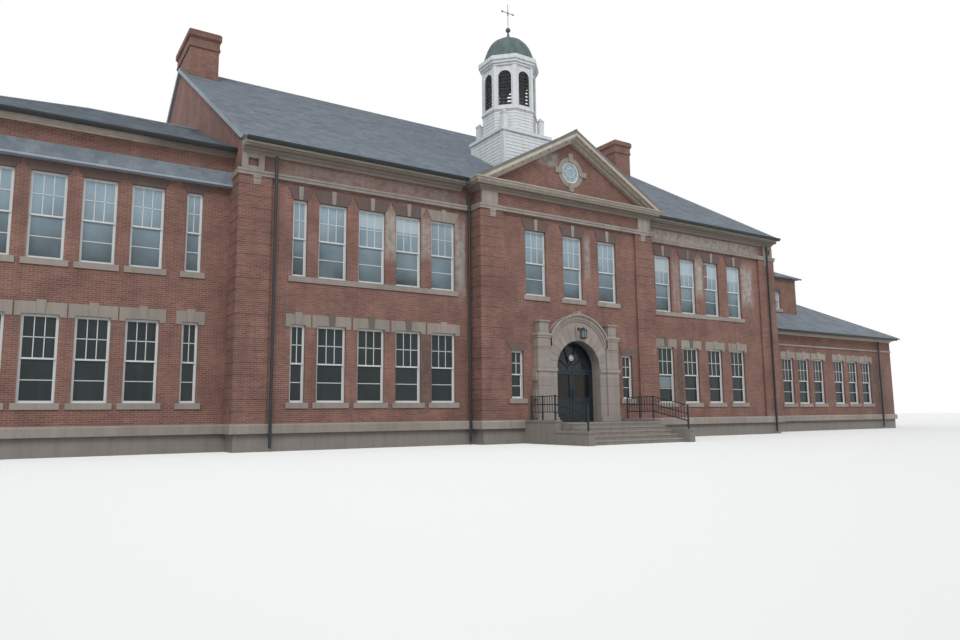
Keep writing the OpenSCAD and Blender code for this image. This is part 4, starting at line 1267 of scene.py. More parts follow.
def slopes(node: str, steepness: float = 0.35, least: float = 0.4) -> list[Slope]:
    """Find the slopes of a roof node.

    Args:
        node: The node's name.
        steepness: Least upward part of a slope's normal.
        least: Least area of a slope.

    Returns:
        Its slopes in a fixed order.
    """
    mesh = frame["nodes"][node].data
    planes: dict[tuple[float, ...], list[bpy.types.MeshPolygon]] = {}
    for face in mesh.polygons:
        if face.normal.z > steepness and face.area > 1e-7:
            offset = face.normal.dot(face.center)
            key = tuple(round(c, 2) for c in (*face.normal, offset))
            planes.setdefault(key, []).append(face)
    found = []
    for key in sorted(planes):
        faces = planes[key]
        if sum(f.area for f in faces) < least or faces[0].normal.z > 0.999:
            continue
        normal = max(faces, key=lambda f: f.area).normal.copy()
        level = UP.cross(normal).normalized()
        rise = normal.cross(level)
        origin = mesh.vertices[faces[0].vertices[0]].co.copy()
        corners = [[mesh.vertices[i].co - origin for i in f.vertices] for f in faces]
        flat = [[(c.dot(level), c.dot(rise)) for c in face] for face in corners]
        found.append(Slope(normal, level, rise, origin, flat))
    return found


@dataclass
class SlateRoof:
    """Courses of slates over every slope of a roof node.

    Attributes:
        node: The CAD node that carries them.
        course: Exposed height of a slate.
        width: Width of a slate.
        thick: Thickness of a slate.
        lift: Height of a slate's foot over the slope.
    """

    node: str
    course: float = real_mm(215)
    width: float = real_mm(250)
    thick: float = real_mm(8)
    lift: float = real_mm(14)

    def build(self, shop: PaintShop) -> None:
        """Lay the slates.

        Args:
            shop: The finishes.
        """
        work = Workpiece(f"{self.node}_slates")
        tone = work.bm.faces.layers.float.new(SlateFinish.tone_name)
        rng = random.Random(SEED)
        for slope in slopes(self.node):
            vs = [v for triangle in slope.triangles for _, v in triangle]
            count = max(1, round((max(vs) - min(vs)) / self.course))
            course = (max(vs) - min(vs)) / count
            for row in range(count):
                foot = min(vs) + row * course
                self.lay_course(work.bm, tone, slope, foot, foot + course, row, rng)
        bmesh.ops.solidify(work.bm, geom=work.bm.faces[:], thickness=self.thick)
        work.done(Body.BUILDING, Slot.SLATE, shop.materials["slate"])

    def lay_course(
        self, bm: bmesh.types.BMesh, tone: Any, slope: Slope, foot: float, head: float, row: int,
        rng: random.Random,
    ) -> None:
        """Lay one course, cut where the slope's edges cut it.

        Args:
            bm: The mesh being made.
            tone: The face layer of each slate's tone.
            slope: The slope that carries the course.
            foot: Distance of the course's lower edge up the slope.
            head: Distance of its upper edge.
            row: Number of the course, which staggers the joints.
            rng: The seeded random source.
        """
        hair = 0.2 * MM
        low_spans, high_spans = slope.spans(foot + hair), slope.spans(head - hair)
        if len(low_spans) != len(high_spans):
            middle = slope.spans((foot + head) / 2)
            low_spans = high_spans = middle
        for (a0, b0), (a1, b1) in zip(low_spans, high_spans):
            start = min(a0, a1)
            first = math.floor(start / self.width) - 1
            stagger = (row % 2) * self.width / 2
            last = math.ceil(max(b0, b1) / self.width) + 1
            for i in range(first, last):
                left, right = i * self.width + stagger, (i + 1) * self.width + stagger
                u = [min(max(s, a), b) for s, a, b in
                    ((left, a0, b0), (right, a0, b0), (right, a1, b1), (left, a1, b1))]
                if u[1] - u[0] < MM and u[2] - u[3] < MM:
                    continue
                foot_lift = self.lift * rng.uniform(0.8, 1.2)
                lifts = (foot_lift, foot_lift, self.thick, self.thick)
                gap = MM / 2
                points = [
                    slope.point(u[0] + gap, foot, lifts[0]),
                    slope.point(max(u[1] - gap, u[0] + gap * 2), foot, lifts[1]),
                    slope.point(max(u[2] - gap, u[3] + gap * 2), head, lifts[2]),
                    slope.point(u[3] + gap, head, lifts[3]),
                ]
                face = bm.faces.new([bm.verts.new(p) for p in points])
                face[tone] = rng.random()


@dataclass
class RidgeRolls:
    """Lead rolls along the ridges and hips.

    Attributes:
        radius: Radius of a roll.
        reach: Widest gap between the two slopes at a crest.
        flat: Cosine of the least turn between two slopes.
        nodes: The roofs.
    """

    radius: float = real_mm(50)
    reach: float = real_mm(60)
    flat: float = 0.97
    nodes: tuple[str, ...] = ("roof_front", "roof_rear", "pediment_roof", "wing_roofs")

    def build(self, shop: PaintShop) -> None:
        """Lay a roll on every crest.

        Args:
            shop: The finishes.
        """
        work = Workpiece("ridge_rolls")
        for start, end in self.crests():
            work.rod(start, end, self.radius, sides=10)
        work.done(Body.BUILDING, Slot.SLATE, shop.materials["lead"])

    def crests(self) -> list[tuple[Vector, Vector]]:
        """Find where two slopes' upper edges lie side by side and both fall away.

        Returns:
            The two ends of each crest.
        """
        rims = [rim for node in self.nodes for rim in slope_rims(node)]
        found = []
        for i, (a0, a1, up_a, middle_a) in enumerate(rims):
            for b0, b1, up_b, middle_b in rims[i + 1 :]:
                apart = min(
                    max((a0 - b0).length, (a1 - b1).length), max((a0 - b1).length, (a1 - b0).length)
                )
                if apart > self.reach or up_a.dot(up_b) > self.flat:
                    continue
                if (middle_b - a0).dot(up_a) < 0 and (middle_a - b0).dot(up_b) < 0:
                    found.append((a0, a1))
        return found


def slope_rims(node: str) -> list[tuple[Vector, Vector, Vector, Vector]]:
    """List the outer edges of a roof node's slopes.

    Args:
        node: The node's name.

    Returns:
        For each edge its two ends, its slope's normal and the middle of its face.
    """
    least, level_up, same = 0.3, 0.35, 0.999
    bm = bmesh.new()
    bm.from_mesh(frame["nodes"][node].data)
    bmesh.ops.remove_doubles(bm, verts=bm.verts, dist=1e-4)
    rims = []
    for edge in bm.edges:
        up = [f for f in edge.link_faces if f.normal.z > level_up]
        inner = len(up) == 2 and up[0].normal.dot(up[1].normal) > same
        if edge.calc_length() < least or inner:
            continue
        ends = [v.co.copy() for v in edge.verts]
        rims += [(*ends, f.normal.copy(), f.calc_center_median()) for f in up]
    bm.free()
    return rims


@dataclass
class Clapboards:
    """Clapboards and corner boards on the belfry's square base.

    Attributes:
        course: Exposed height of a board.
        out: How far a board's lower edge stands out.
        corner: Width of a corner board.
    """

    course: float = real_mm(165)
    out: float = real_mm(24)
    corner: float = real_mm(130)

    def build(self, shop: PaintShop) -> None:
        """Board the four sides, cut to the roof slope that they stand on.

        Args:
            shop: The finishes.
        """
        low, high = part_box("cupola_base")
        cap = real_mm(92)
        half = (high.x - low.x) / 2 - cap
        middle = Vector(((low.x + high.x) / 2, (low.y + high.y) / 2, 0))
        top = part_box("belfry")[0].z - real_mm(152)
        work = Workpiece("cupola_clapboards")
        rows = int((top - low.z) / self.course)
        for side in range(4):
            turn = Matrix.Translation(middle) @ Matrix.Rotation(side * math.pi / 2, 4, "Z")
            for row in range(rows):
                foot = top - (row + 1) * self.course
                self.board(work, turn, half, foot)
            for s in (-1, 1):
                edge = s * (half - self.corner / 2)
                work.block(
                    Vector((edge - self.corner / 2, -half - 1.6 * self.out, low.z)),
                    Vector((edge + self.corner / 2, -half + self.out, top)), turn,
                )
        slope = slopes("roof_front")[0]
        bmesh.ops.bisect_plane(
            work.bm, geom=work.bm.verts[:] + work.bm.edges[:] + work.bm.faces[:],
            plane_co=slope.origin - slope.normal * real_mm(60), plane_no=slope.normal,
            clear_inner=True,
        )
        bmesh.ops.holes_fill(work.bm, edges=work.bm.edges[:], sides=0)
        work.done(Body.BUILDING, Slot.WHITE, shop.materials["belfry_paint"])

    def board(self, work: Workpiece, turn: Matrix, half: float, foot: float) -> None:
        """Add one board with its face leaning out towards its foot.

        Args:
            work: The mesh being made.
            turn: Turns the board to its side of the base.
            half: Half the width of the base.
            foot: Height of the board's lower edge.
        """
        verts = work.block(
            Vector((-half, -half - self.out, foot)),
            Vector((half, -half + self.out, foot + self.course)), turn,
        )
        outward = (turn.to_3x3() @ Vector((0, 1, 0))) * self.out
        head = [v for v in verts if v.co.z > foot + self.course / 2]
        face = sorted(head, key=lambda v: v.co.dot(outward))[:2]
        bmesh.ops.translate(work.bm, verts=face, vec=outward * 0.8)


@dataclass
class DoorJoinery:
    """Panel mouldings, glazing beads and a raised panel of one door leaf.

    Attributes:
        body: The leaf's body, whose CAD node has the same name.
        bead: Width of a moulding.
        proud: How far a moulding stands out of the leaf.
    """

    body: Body
    bead: float = real_mm(34)
    proud: float = real_mm(12)

    def build(self, shop: PaintShop) -> None:
        """Model what is planted on the leaf's street side.

        Args:
            shop: The finishes.
        """
        glass_low, glass_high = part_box(f"{self.body.value}_glass")
        low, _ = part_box(self.body.value)
        face = (glass_low.y + glass_high.y) / 2 - real_mm(30)
        work = Workpiece(f"{self.body.value}_mouldings")
        self.ring(work, glass_low.x, glass_high.x, glass_low.z, glass_high.z, face, 1)
        panel_top = glass_low.z - real_mm(180)
        panel_foot = low.z + real_mm(260)
        self.ring(work, glass_low.x, glass_high.x, panel_foot, panel_top, face + real_mm(15), -1)
        inset = real_mm(90)
        work.block(
            Vector((glass_low.x + inset, face + real_mm(2), panel_foot + inset)),
            Vector((glass_high.x - inset, face + real_mm(18), panel_top - inset)),
        )
        work.done(self.body, Slot.DOOR, shop.materials["door_paint"], bevel=real_mm(3))

    def ring(
        self, work: Workpiece, x0: float, x1: float, z0: float, z1: float, face: float, out: int
    ) -> None:
        """Add four mitre-free mouldings round an opening.

        Args:
            work: The mesh being made.
            x0: Left edge of the opening.
            x1: Right edge of the opening.
            z0: Foot of the opening.
            z1: Head of the opening.
            face: The leaf's face that carries the moulding.
            out: 1 puts the ring outside the opening's edge and -1 inside it.
        """
        w = self.bead * out
        sides = (
            (x0 - w, x0, z0 - w, z1 + w), (x1, x1 + w, z0 - w, z1 + w),
            (x0, x1, z0 - w, z0), (x0, x1, z1, z1 + w),
        )
        for a, b, c, d in sides:
            work.block(
                Vector((min(a, b), face - self.proud, min(c, d))),
                Vector((max(a, b), face + self.proud / 4, max(c, d))),
            )


@dataclass
class GoredDome:
    """The copper dome: eight bulging gores that meet in valleys.

    Attributes:
        gores: Number of gores.
        steps: Steps of the full turn.
        valley: Depth of a valley as a share of the radius.
        profile: Radius and height from the foot to the crown.
    """

    gores: int = 8
    steps: int = 96
    valley: float = 0.045
    profile: tuple[tuple[float, float], ...] = (
        (0.62, 9.214), (0.655, 9.226), (0.646, 9.28), (0.622, 9.4), (0.575, 9.536),
        (0.522, 9.65), (0.458, 9.749), (0.385, 9.822), (0.29, 9.882), (0.19, 9.932),
        (0.1, 9.97), (0.07, 10.0), (0.0, 10.005),
    )

    def build(self, shop: PaintShop) -> None:
        """Spin the profile and press the valleys in.

        Args:
            shop: The finishes.
        """
        low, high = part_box("cupola_dome")
        axis = Vector(((low.x + high.x) / 2, (low.y + high.y) / 2, 0))
        work = Workpiece("gored_dome")
        verts = [work.bm.verts.new(axis + Vector((r, 0, z))) for r, z in self.profile]
        edges = [work.bm.edges.new(pair) for pair in zip(verts, verts[1:])]
        bmesh.ops.spin(
            work.bm, geom=verts + edges, cent=axis, axis=UP, dvec=(0, 0, 0),
            angle=2 * math.pi, steps=self.steps, use_merge=True,
        )
        bmesh.ops.remove_doubles(work.bm, verts=work.bm.verts, dist=1e-5)
        for vert in work.bm.verts:
            way = (vert.co - axis).xy
            turn = math.atan2(way.y, way.x) - math.pi / self.gores
            bulge = abs(math.sin(self.gores / 2 * turn)) ** 0.6
            share = 1 - self.valley * (1 - bulge)
            vert.co.x, vert.co.y = axis.x + way.x * share, axis.y + way.y * share
        made = work.done(Body.BUILDING, Slot.COPPER, shop.materials["copper"])
        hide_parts("cupola_dome")


@dataclass
class StoneTrim:
    """Keystones, joined sills, string fascia, frieze blocks, consoles and oculus stones.

    Attributes:
        proud: How far a keystone stands out of its lintel.
        rise: How far a keystone stands over its lintel.
        low_w: Width of a keystone on an eared lintel.
        upper_w: Width of a keystone on a flat arch.
        ear: How far an eared lintel hangs beside the opening.
        front: Faces of the main front and of the pavilion.
    """

    proud: float = 0.012
    rise: float = 0.034
    low_w: float = 0.124
    upper_w: float = 0.084
    ear: float = 0.04
    front: tuple[float, float] = (0.0, -0.36)

    def build(self, shop: PaintShop) -> None:
        """Model the stones.

        Args:
            shop: The finishes.
        """
        work = Workpiece("stone_trim")
        for low, high in islands("window_lintels"):
            self.keystone(work, low, high)
        self.sills(work)
        self.string(work)
        for side in (-1, 1):
            self.frieze_block(work, side * 6.79 if side < 0 else 7.24, self.front[0])
            self.console(work, side * 2.1, self.front[1])
            self.console(work, -6.72 if side < 0 else 7.12, self.front[0])
        self.oculus_keys(work)
        work.done(Body.BUILDING, Slot.LIMESTONE, shop.materials["limestone"])

    def keystone(self, work: Workpiece, low: Vector, high: Vector) -> None:
        """Seat one keystone on a lintel.

        Args:
            work: The mesh being made.
            low: The lintel's low corner.
            high: The lintel's high corner.
        """
        tall, middle = high.z - low.z, (low + high) / 2
        least, eared, deep = 0.16, 0.24, 6.0
        if tall < least:
            return
        foot = low.z + (self.ear if tall > eared else 0.0)
        half = (self.low_w if tall > eared else self.upper_w) / 2
        top = foot + 0.185 + self.rise if tall > eared else high.z + self.rise
        if high.x - low.x > high.y - low.y:
            back = low.y > deep or (low.y > self.front[0] + 2 and abs(low.x) < 7)
            face = high.y if back else low.y
            turn = Matrix.Translation((middle.x, face, 0)) @ Matrix.Rotation(
                math.pi if back else 0.0, 4, "Z"
            )
        else:
            out = 1 if middle.x > 0 else -1
            face = high.x if out > 0 else low.x
            turn = Matrix.Translation((face, middle.y, 0)) @ Matrix.Rotation(
                out * math.pi / 2, 4, "Z"
            )
        outline = [(-0.8 * half, foot), (0.8 * half, foot), (1.1 * half, top), (-1.1 * half, top)]
        work.slab(outline, -self.proud, 0.01, turn)

    def sills(self, work: Workpiece) -> None:
        """Join the upper sills of the main front into one on each side."""
        widest, upper = 0.3, 2.8
        row = sorted(
            (box for box in islands("window_sills") if box[1].z > upper and abs(box[0].y) < 0.05),
            key=lambda box: box[0].x,
        )
        for (low, high), (next_low, _) in zip(row, row[1:]):
            if MM < next_low.x - high.x < widest:
                work.block(
                    Vector((high.x - MM, low.y, low.z)), Vector((next_low.x + MM, 0.01, high.z))
                )

    def string(self, work: Workpiece) -> None:
        """Step the upper half of the string out."""
        foot, head, out = 4.735, 4.775, 0.082
        main, pavilion = self.front
        for x0, x1, y in ((-6.98 - out, -2.43, main), (2.43, 7.43 + out, main),
                (-2.35 - out, 2.35 + out, pavilion)):
            work.block(Vector((x0, y - out, foot)), Vector((x1, y - 0.05, head)))
        for side in (-1, 1):
            reach = sorted((side * 2.41, side * (2.35 + out)))
            work.block(Vector((reach[0], pavilion, foot)), Vector((reach[1], -0.07, head)))

    def frieze_block(self, work: Workpiece, x: float, y: float) -> None:
        """Frame a brick panel in the frieze with four stones.

        Args:
            work: The mesh being made.
            x: Middle of the frame.
            y: The wall's face.
        """
        half, rail, foot, head, out = 0.19, 0.1, 4.777, 5.058, 0.048
        edge = (head - foot) / 4
        for x0, x1, z0, z1 in (
            (-half, rail - half, foot, head), (half - rail, half, foot, head),
            (rail - half, half - rail, foot, foot + edge),
            (rail - half, half - rail, head - edge, head),
        ):
            work.block(Vector((x + x0, y - out, z0)), Vector((x + x1, y + 0.005, z1)))

    def console(self, work: Workpiece, x: float, y: float) -> None:
        """Hang a carved console under the string.

        Args:
            work: The mesh being made.
            x: Its middle.
            y: The pier's wall face.
        """
        out, half, foot, head = 0.048, 0.075, 4.53, 4.68
        for share, width in ((0.25, 0.8), (0.5, 0.9), (1.0, 1.0)):
            z0 = foot + (head - foot) * (share - 0.25)
            work.block(
                Vector((x - half * width, y - out - 0.02 * share, z0)),
                Vector((x + half * width, y - out + 0.01, head)),
            )

    def oculus_keys(self, work: Workpiece) -> None:
        """Set a keystone on each quarter of the round window."""
        centre, ring, reach, half = 5.82, 0.237, 0.432, 0.06
        for quarter in range(4):
            outline = [
                (-0.8 * half, ring), (0.8 * half, ring), (1.1 * half, reach), (-1.1 * half, reach)
            ]
            turn = Matrix.Translation((0, 0, centre)) @ Matrix.Rotation(
                quarter * math.pi / 2, 4, "Y"
            )
            work.slab(outline, self.front[1] - 0.034, self.front[1] + 0.005, turn)


@dataclass
class Portal:
    """The stone doorway: jambs, pilasters, voussoirs and a stepped hood with an ogee tip.

    Attributes:
        wall: Face of the pavilion wall.
        face: Face of the portal.
        half: Half the portal's width.
        door: Half the doorway's width and radius of its arch.
        floor: Height of the threshold.
        spring: Springing of the arch.
        capital: Foot of the capitals.
        shaft: Width of a pilaster.
        stones: Stones of the arch.
        ring: Outer radius of the arch stones.
        hood_z: Centre of the hood.
        hood_r: Outer radius of the hood.
    """

    wall: float = -0.36
    face: float = -0.475
    half: float = 1.1
    door: float = 0.584
    floor: float = 0.4
    spring: float = 1.52
    capital: float = 2.127
    shaft: float = 0.33
    stones: int = 15
    ring: float = 0.861
    hood_z: float = 1.784
    hood_r: float = 0.889

    def build(self, shop: PaintShop) -> None:
        """Model the portal in place of its plain solids.

        Args:
            shop: The finishes.
        """
        work = Workpiece("portal_stone")
        self.field(work)
        self.voussoirs(work)
        for share, out in ((0.827, 0.012), (0.872, 0.03), (0.911, 0.036), (0.956, 0.066)):
            self.hood_ring(work, share, out)
        for side in (-1, 1):
            self.jamb(work, side)
            self.upper_pilaster(work, side)
        made = work.done(Body.BUILDING, Slot.LIMESTONE, shop.materials["portal_stone"])
        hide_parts("portal_jambs", "portal_arch")

    def hood_outline(self, radius: float, foot: float, tip: bool) -> list[tuple[float, float]]:
        """Half of the hood's outline from its right foot to its top.

        Args:
            radius: Radius of the curve.
            foot: Height of the foot.
            tip: Whether the top is drawn up into the ogee.

        Returns:
            Points as x and z.
        """
        inner = self.half - self.shaft - 0.004
        by_side = math.degrees(math.acos(min(1.0, inner / radius)))
        by_foot = math.degrees(math.asin((foot - self.hood_z) / radius))
        points = [(inner, foot)] if by_side > by_foot else []
        end = 79.0 if tip else 90.0
        points += arc((0, self.hood_z), radius, max(by_side, by_foot), end, 14)
        if tip:
            points += [(0.06, self.hood_z + 0.906), (0.0, self.hood_z + 0.96)]
        return points

    def field(self, work: Workpiece) -> None:
        """Fill the front between the arch, the capitals and the hood."""
        inner, shy = self.half - self.shaft, 0.006
        right = [(self.door + shy, self.spring), (self.half - shy, self.spring),
            (self.half - shy, self.capital), (inner, self.capital)]
        hood = self.hood_outline(self.hood_r - shy, self.capital, True)[1:]
        arch = arc((0, self.spring), self.door + shy, 180, 0, 24)[1:-1]
        outline = right + hood + mirrored(hood)[1:] + mirrored(right) + arch
        work.slab(outline, self.face + 0.008, self.wall)

    def voussoirs(self, work: Workpiece) -> None:
        """Cut the arch into stones with open joints and a taller keystone."""
        step, joint = 180 / self.stones, 0.35
        for i in range(self.stones):
            key = i == self.stones // 2
            low, high = i * step + joint, (i + 1) * step - joint
            outer = self.ring + (0.035 if key else 0.0)
            outline = arc((0, self.spring), self.door, low, high, 3)
            outline += arc((0, self.spring), outer, high, low, 3)
            work.slab(outline, self.face - (0.024 if key else 0.0), self.wall - 0.05)

    def hood_ring(self, work: Workpiece, share: float, out: float) -> None:
        """Add one step of the hood's moulding.

        Args:
            work: The mesh being made.
            share: Inner radius as a share of the hood's.
            out: How far the step stands out of the portal.
        """
        foot = self.capital - 0.163
        outer = self.hood_outline(self.hood_r, foot, True)
        inner = self.hood_outline(self.hood_r * share, foot, False)
        outline = outer + mirrored(outer)[1:]
        back = [(-x, z) for x, z in inner]
        outline += back + list(reversed(inner))[1:]
        work.slab(outline, self.face - out, self.face + 0.009)

    def span(self, work: Workpiece, side: int, x: tuple[float, float], out: float,
        z: tuple[float, float]) -> None:
        """Add a block of the portal on one side.

        Args:
            work: The mesh being made.
            side: 1 for the right side and -1 for the left.
            x: Distances of its edges from the middle.
            out: How far it stands out of the portal's face.
            z: Its foot and head.
        """
        x0, x1 = sorted((side * x[0], side * x[1]))
        work.block(Vector((x0, self.face - out, z[0])), Vector((x1, self.wall, z[1])))

    def jamb(self, work: Workpiece, side: int) -> None:
        """Stack a jamb: plinth, shaft with toothed quoins, pilaster and impost.

        Args:
            work: The mesh being made.
            side: 1 for the right side and -1 for the left.
        """
        quoin, plinth, impost = 0.186, self.floor + 0.11, self.spring - 0.076
        inner = self.half - self.shaft
        self.span(work, side, (self.door + 0.004, inner), 0.0, (self.floor, self.spring))
        self.span(work, side, (inner, self.half), 0.034, (self.floor, self.spring))
        self.span(work, side, (self.door, self.half + 0.03), 0.036, (self.floor, plinth))
        self.span(work, side, (self.door, self.half), 0.026, (impost, self.spring))
        self.span(work, side, (inner - 0.026, self.half + 0.026), 0.06, (impost, self.spring))
        for i in (0, 2, 4):
            foot = plinth + i * quoin
            self.span(work, side, (self.half - 0.02, self.half + 0.04), 0.0, (foot, foot + quoin))

    def upper_pilaster(self, work: Workpiece, side: int) -> None:
        """Carry a pilaster up: necking, capital and a capped block.

        Args:
            work: The mesh being made.
            side: 1 for the right side and -1 for the left.
        """
        inner, neck, block = self.half - self.shaft, self.capital - 0.187, self.capital + 0.092
        middle = (inner + self.half) / 2
        self.span(work, side, (inner, self.half), 0.034, (self.spring, self.capital))
        self.span(work, side, (inner - 0.012, self.half + 0.012), 0.046, (neck, neck + 0.024))
        self.span(work, side, (inner - 0.017, self.half + 0.017), 0.051,
            (self.capital, self.capital + 0.046))
        self.span(work, side, (inner - 0.034, self.half + 0.034), 0.068,
            (self.capital + 0.046, block))
        self.span(work, side, (middle - 0.115, middle + 0.115), 0.034, (block, block + 0.241))
        self.span(work, side, (middle - 0.143, middle + 0.143), 0.062,
            (block + 0.241, block + 0.27))


@dataclass
class Lantern:
    """The iron lantern that hangs from an arm over the keystone.

    Attributes:
        rose: Middle of the rose on the keystone.
        out: How far the lantern hangs out of the rose.
        radius: Radius of its six-sided body.
        foot: Foot of the body.
        head: Head of the body.
    """

    rose: Vector = field(default_factory=lambda: Vector((-0.01, -0.5, 2.357)))
    out: float = 0.165
    radius: float = 0.07
    foot: float = 2.15
    head: float = 2.31

    def build(self, shop: PaintShop) -> None:
        """Model the frame and its panes in place of the plain solid.

        Args:
            shop: The finishes.
        """
        work = Workpiece("lantern_frame")
        axis = self.rose + Vector((0, -self.out, 0))
        corners = [Matrix.Rotation(i * math.pi / 3, 3, "Z") @ Vector((self.radius, 0, 0))
            for i in range(6)]
        foot, head = Vector((axis.x, axis.y, self.foot)), Vector((axis.x, axis.y, self.head))
        for corner in corners:
            work.rod(foot + corner, head + corner, 0.007, sides=6)
        for base, low, high, depth in (
            (foot - UP * 0.012, self.radius * 0.5, self.radius * 1.1, 0.024),
            (head + UP * 0.024, self.radius * 1.25, self.radius * 0.25, 0.048),
        ):
            bmesh.ops.create_cone(work.bm, cap_ends=True, segments=6, radius1=low, radius2=high,
                depth=depth, matrix=Matrix.Translation(base))
        bmesh.ops.create_uvsphere(work.bm, u_segments=8, v_segments=6, radius=0.012,
            matrix=Matrix.Translation(head + UP * 0.06))
        arm = Vector((axis.x, axis.y, self.rose.z))
        work.rod(self.rose, arm, 0.007)
        work.rod(self.rose + Vector((0, 0.003, 0)), self.rose - Vector((0, 0.014, 0)), 0.03, 16)
        work.rod(self.rose - UP * 0.05, self.rose + (arm - self.rose) * 0.7, 0.004, 6)
        made = work.done(Body.BUILDING, Slot.DARK, shop.materials["dark_paint"])
        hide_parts("wall_lantern")
        panes = Workpiece("lantern_panes")
        bmesh.ops.create_cone(panes.bm, cap_ends=True, segments=6, radius1=self.radius * 0.93,
            radius2=self.radius * 0.93, depth=self.head - self.foot,
            matrix=Matrix.Translation((foot + head) / 2))
        panes.done(Body.BUILDING, Slot.GLASS, shop.materials["lantern_glass"])


@dataclass
class RoundWindow:
    """Painted frame and bars of the pediment's round window.

    Attributes:
        centre: Its middle.
        radius: Radius of the opening.
        frame: Width of the frame.
    """

    centre: Vector = field(default_factory=lambda: Vector((0, -0.345, 5.82)))
    radius: float = 0.237
    frame: float = 0.034

    def build(self, shop: PaintShop) -> None:
        """Model the frame, an inner ring and the bars between them.

        Args:
            shop: The finishes.
        """
        work = Workpiece("round_window")
        for outer, inner, depth in ((self.radius, self.radius - self.frame, 0.02),
                (self.radius * 0.45, self.radius * 0.45 - 0.012, 0.012)):
            self.ring(work, outer, inner, depth)
        for i in range(8):
            way = Vector((math.cos(i * math.pi / 4), 0, math.sin(i * math.pi / 4)))
            work.rod(self.centre + way * self.radius * 0.44,
                self.centre + way * (self.radius - self.frame / 2), 0.006, 6)
        work.done(Body.BUILDING, Slot.WHITE, shop.materials["belfry_paint"])

    def ring(self, work: Workpiece, outer: float, inner: float, depth: float) -> None:
        """Add a flat ring as two halves.

        Args:
            work: The mesh being made.
            outer: Its outer radius.
            inner: Its inner radius.
            depth: Its depth.
        """
        middle = (self.centre.x, self.centre.z)
        for start in (0, 180):
            outline = arc(middle, outer, start, start + 180, 20)
            outline += arc(middle, inner, start + 180, start, 20)
            work.slab(outline, self.centre.y - depth / 2, self.centre.y + depth / 2)


@dataclass
class BelfryTrim:
    """Pilasters, arch trims and mouldings of the belfry, and the posts of its base.

    Attributes:
        radius: Radius of the octagon over its corners.
        axis: Where the belfry stands.
        floor: Foot of the open stage.
        top: Head of the open stage.
        arch_foot: Foot of an arch.
        arch_crown: Crown of an arch.
        arch_half: Half the width of an arch.
    """

    radius: float = 0.67
    axis: Vector = field(default_factory=lambda: Vector((0, 1.9, 0)))
    floor: float = 7.886
    top: float = 8.986
    arch_foot: float = 7.981
    arch_crown: float = 8.855
    arch_half: float = 0.16

    def build(self, shop: PaintShop) -> None:
        """Model the trim of the eight sides.

        Args:
            shop: The finishes.
        """
        work = Workpiece("belfry_trim")
        eighth = math.pi / 8
        flat, half = self.radius * math.cos(eighth), self.radius * math.sin(eighth)
        for i in range(8):
            turn = Matrix.Translation(self.axis) @ Matrix.Rotation(i * 2 * eighth, 4, "Z")
            for s in (-1, 1):
                x0, x1 = sorted((s * (half - 0.062), s * (half + 0.008)))
                work.block(Vector((x0, -flat - 0.02, self.floor)),
                    Vector((x1, -flat + 0.01, self.top)), turn)
            self.arch_trim(work, flat, turn)
        for z, out in ((self.floor - 0.04, 0.022), (self.floor - 0.013, 0.042)):
            reach = self.radius + out
            bmesh.ops.create_cone(work.bm, cap_ends=True, segments=8, radius1=reach,
                radius2=reach, depth=0.026, matrix=Matrix.Translation(self.axis + UP * z)
                @ Matrix.Rotation(eighth, 4, "Z"))
        self.posts(work)
        self.boards(work)
        work.done(Body.BUILDING, Slot.WHITE, shop.materials["belfry_paint"])

    def boards(self, work: Workpiece) -> None:
        """Clap the octagon under the open stage with boards, and lay the frieze over it."""
        foot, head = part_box("belfry")[0].z, self.floor - 0.052
        count, lap = 7, 0.012
        tall = (head - foot) / count
        rings = [(foot + i * tall, tall, self.radius + lap, self.radius + 0.002)
            for i in range(count)]
        rings.append((self.top + 0.045, 0.105, self.radius + 0.03, self.radius + 0.03))
        for z, depth, low, high in rings:
            bmesh.ops.create_cone(work.bm, cap_ends=True, segments=8, radius1=low, radius2=high,
                depth=depth, matrix=Matrix.Translation(self.axis + UP * (z + depth / 2))
                @ Matrix.Rotation(math.pi / 8, 4, "Z"))

    def arch_trim(self, work: Workpiece, flat: float, turn: Matrix) -> None:
        """Trim one arch with a moulding.

        Args:
            work: The mesh being made.
            flat: Distance of the side from the axis.
            turn: Turns the trim to its side.
        """
        width, spring = 0.024, self.arch_crown - self.arch_half
        outer = self.arch_half + width
        outline = [(outer, self.arch_foot)] + arc((0, spring), outer, 0, 180, 16)
        outline += [(-outer, self.arch_foot), (-self.arch_half, self.arch_foot)]
        outline += arc((0, spring), self.arch_half, 180, 0, 16) + [(self.arch_half, self.arch_foot)]
        work.slab(outline, -flat - 0.009, -flat + 0.005, turn)

    def posts(self, work: Workpiece) -> None:
        """Stand a post with an urn on each corner of the square base."""
        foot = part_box("belfry")[0].z
        at, half, tall = 0.54, 0.064, 0.44
        for sx in (-1, 1):
            for sy in (-1, 1):
                middle = self.axis + Vector((sx * at, sy * at, foot))
                reach = Vector((half, half, 0))
                cap = Vector((half + 0.012, half + 0.012, 0))
                work.block(middle - reach, middle + reach + UP * tall)
                work.block(middle - cap + UP * (tall - 0.026), middle + cap + UP * tall)
                work.block(middle - cap, middle + cap + UP * 0.03)
                bmesh.ops.create_uvsphere(work.bm, u_segments=12, v_segments=8, radius=0.04,
                    matrix=Matrix.Translation(middle + UP * (tall + 0.032)))


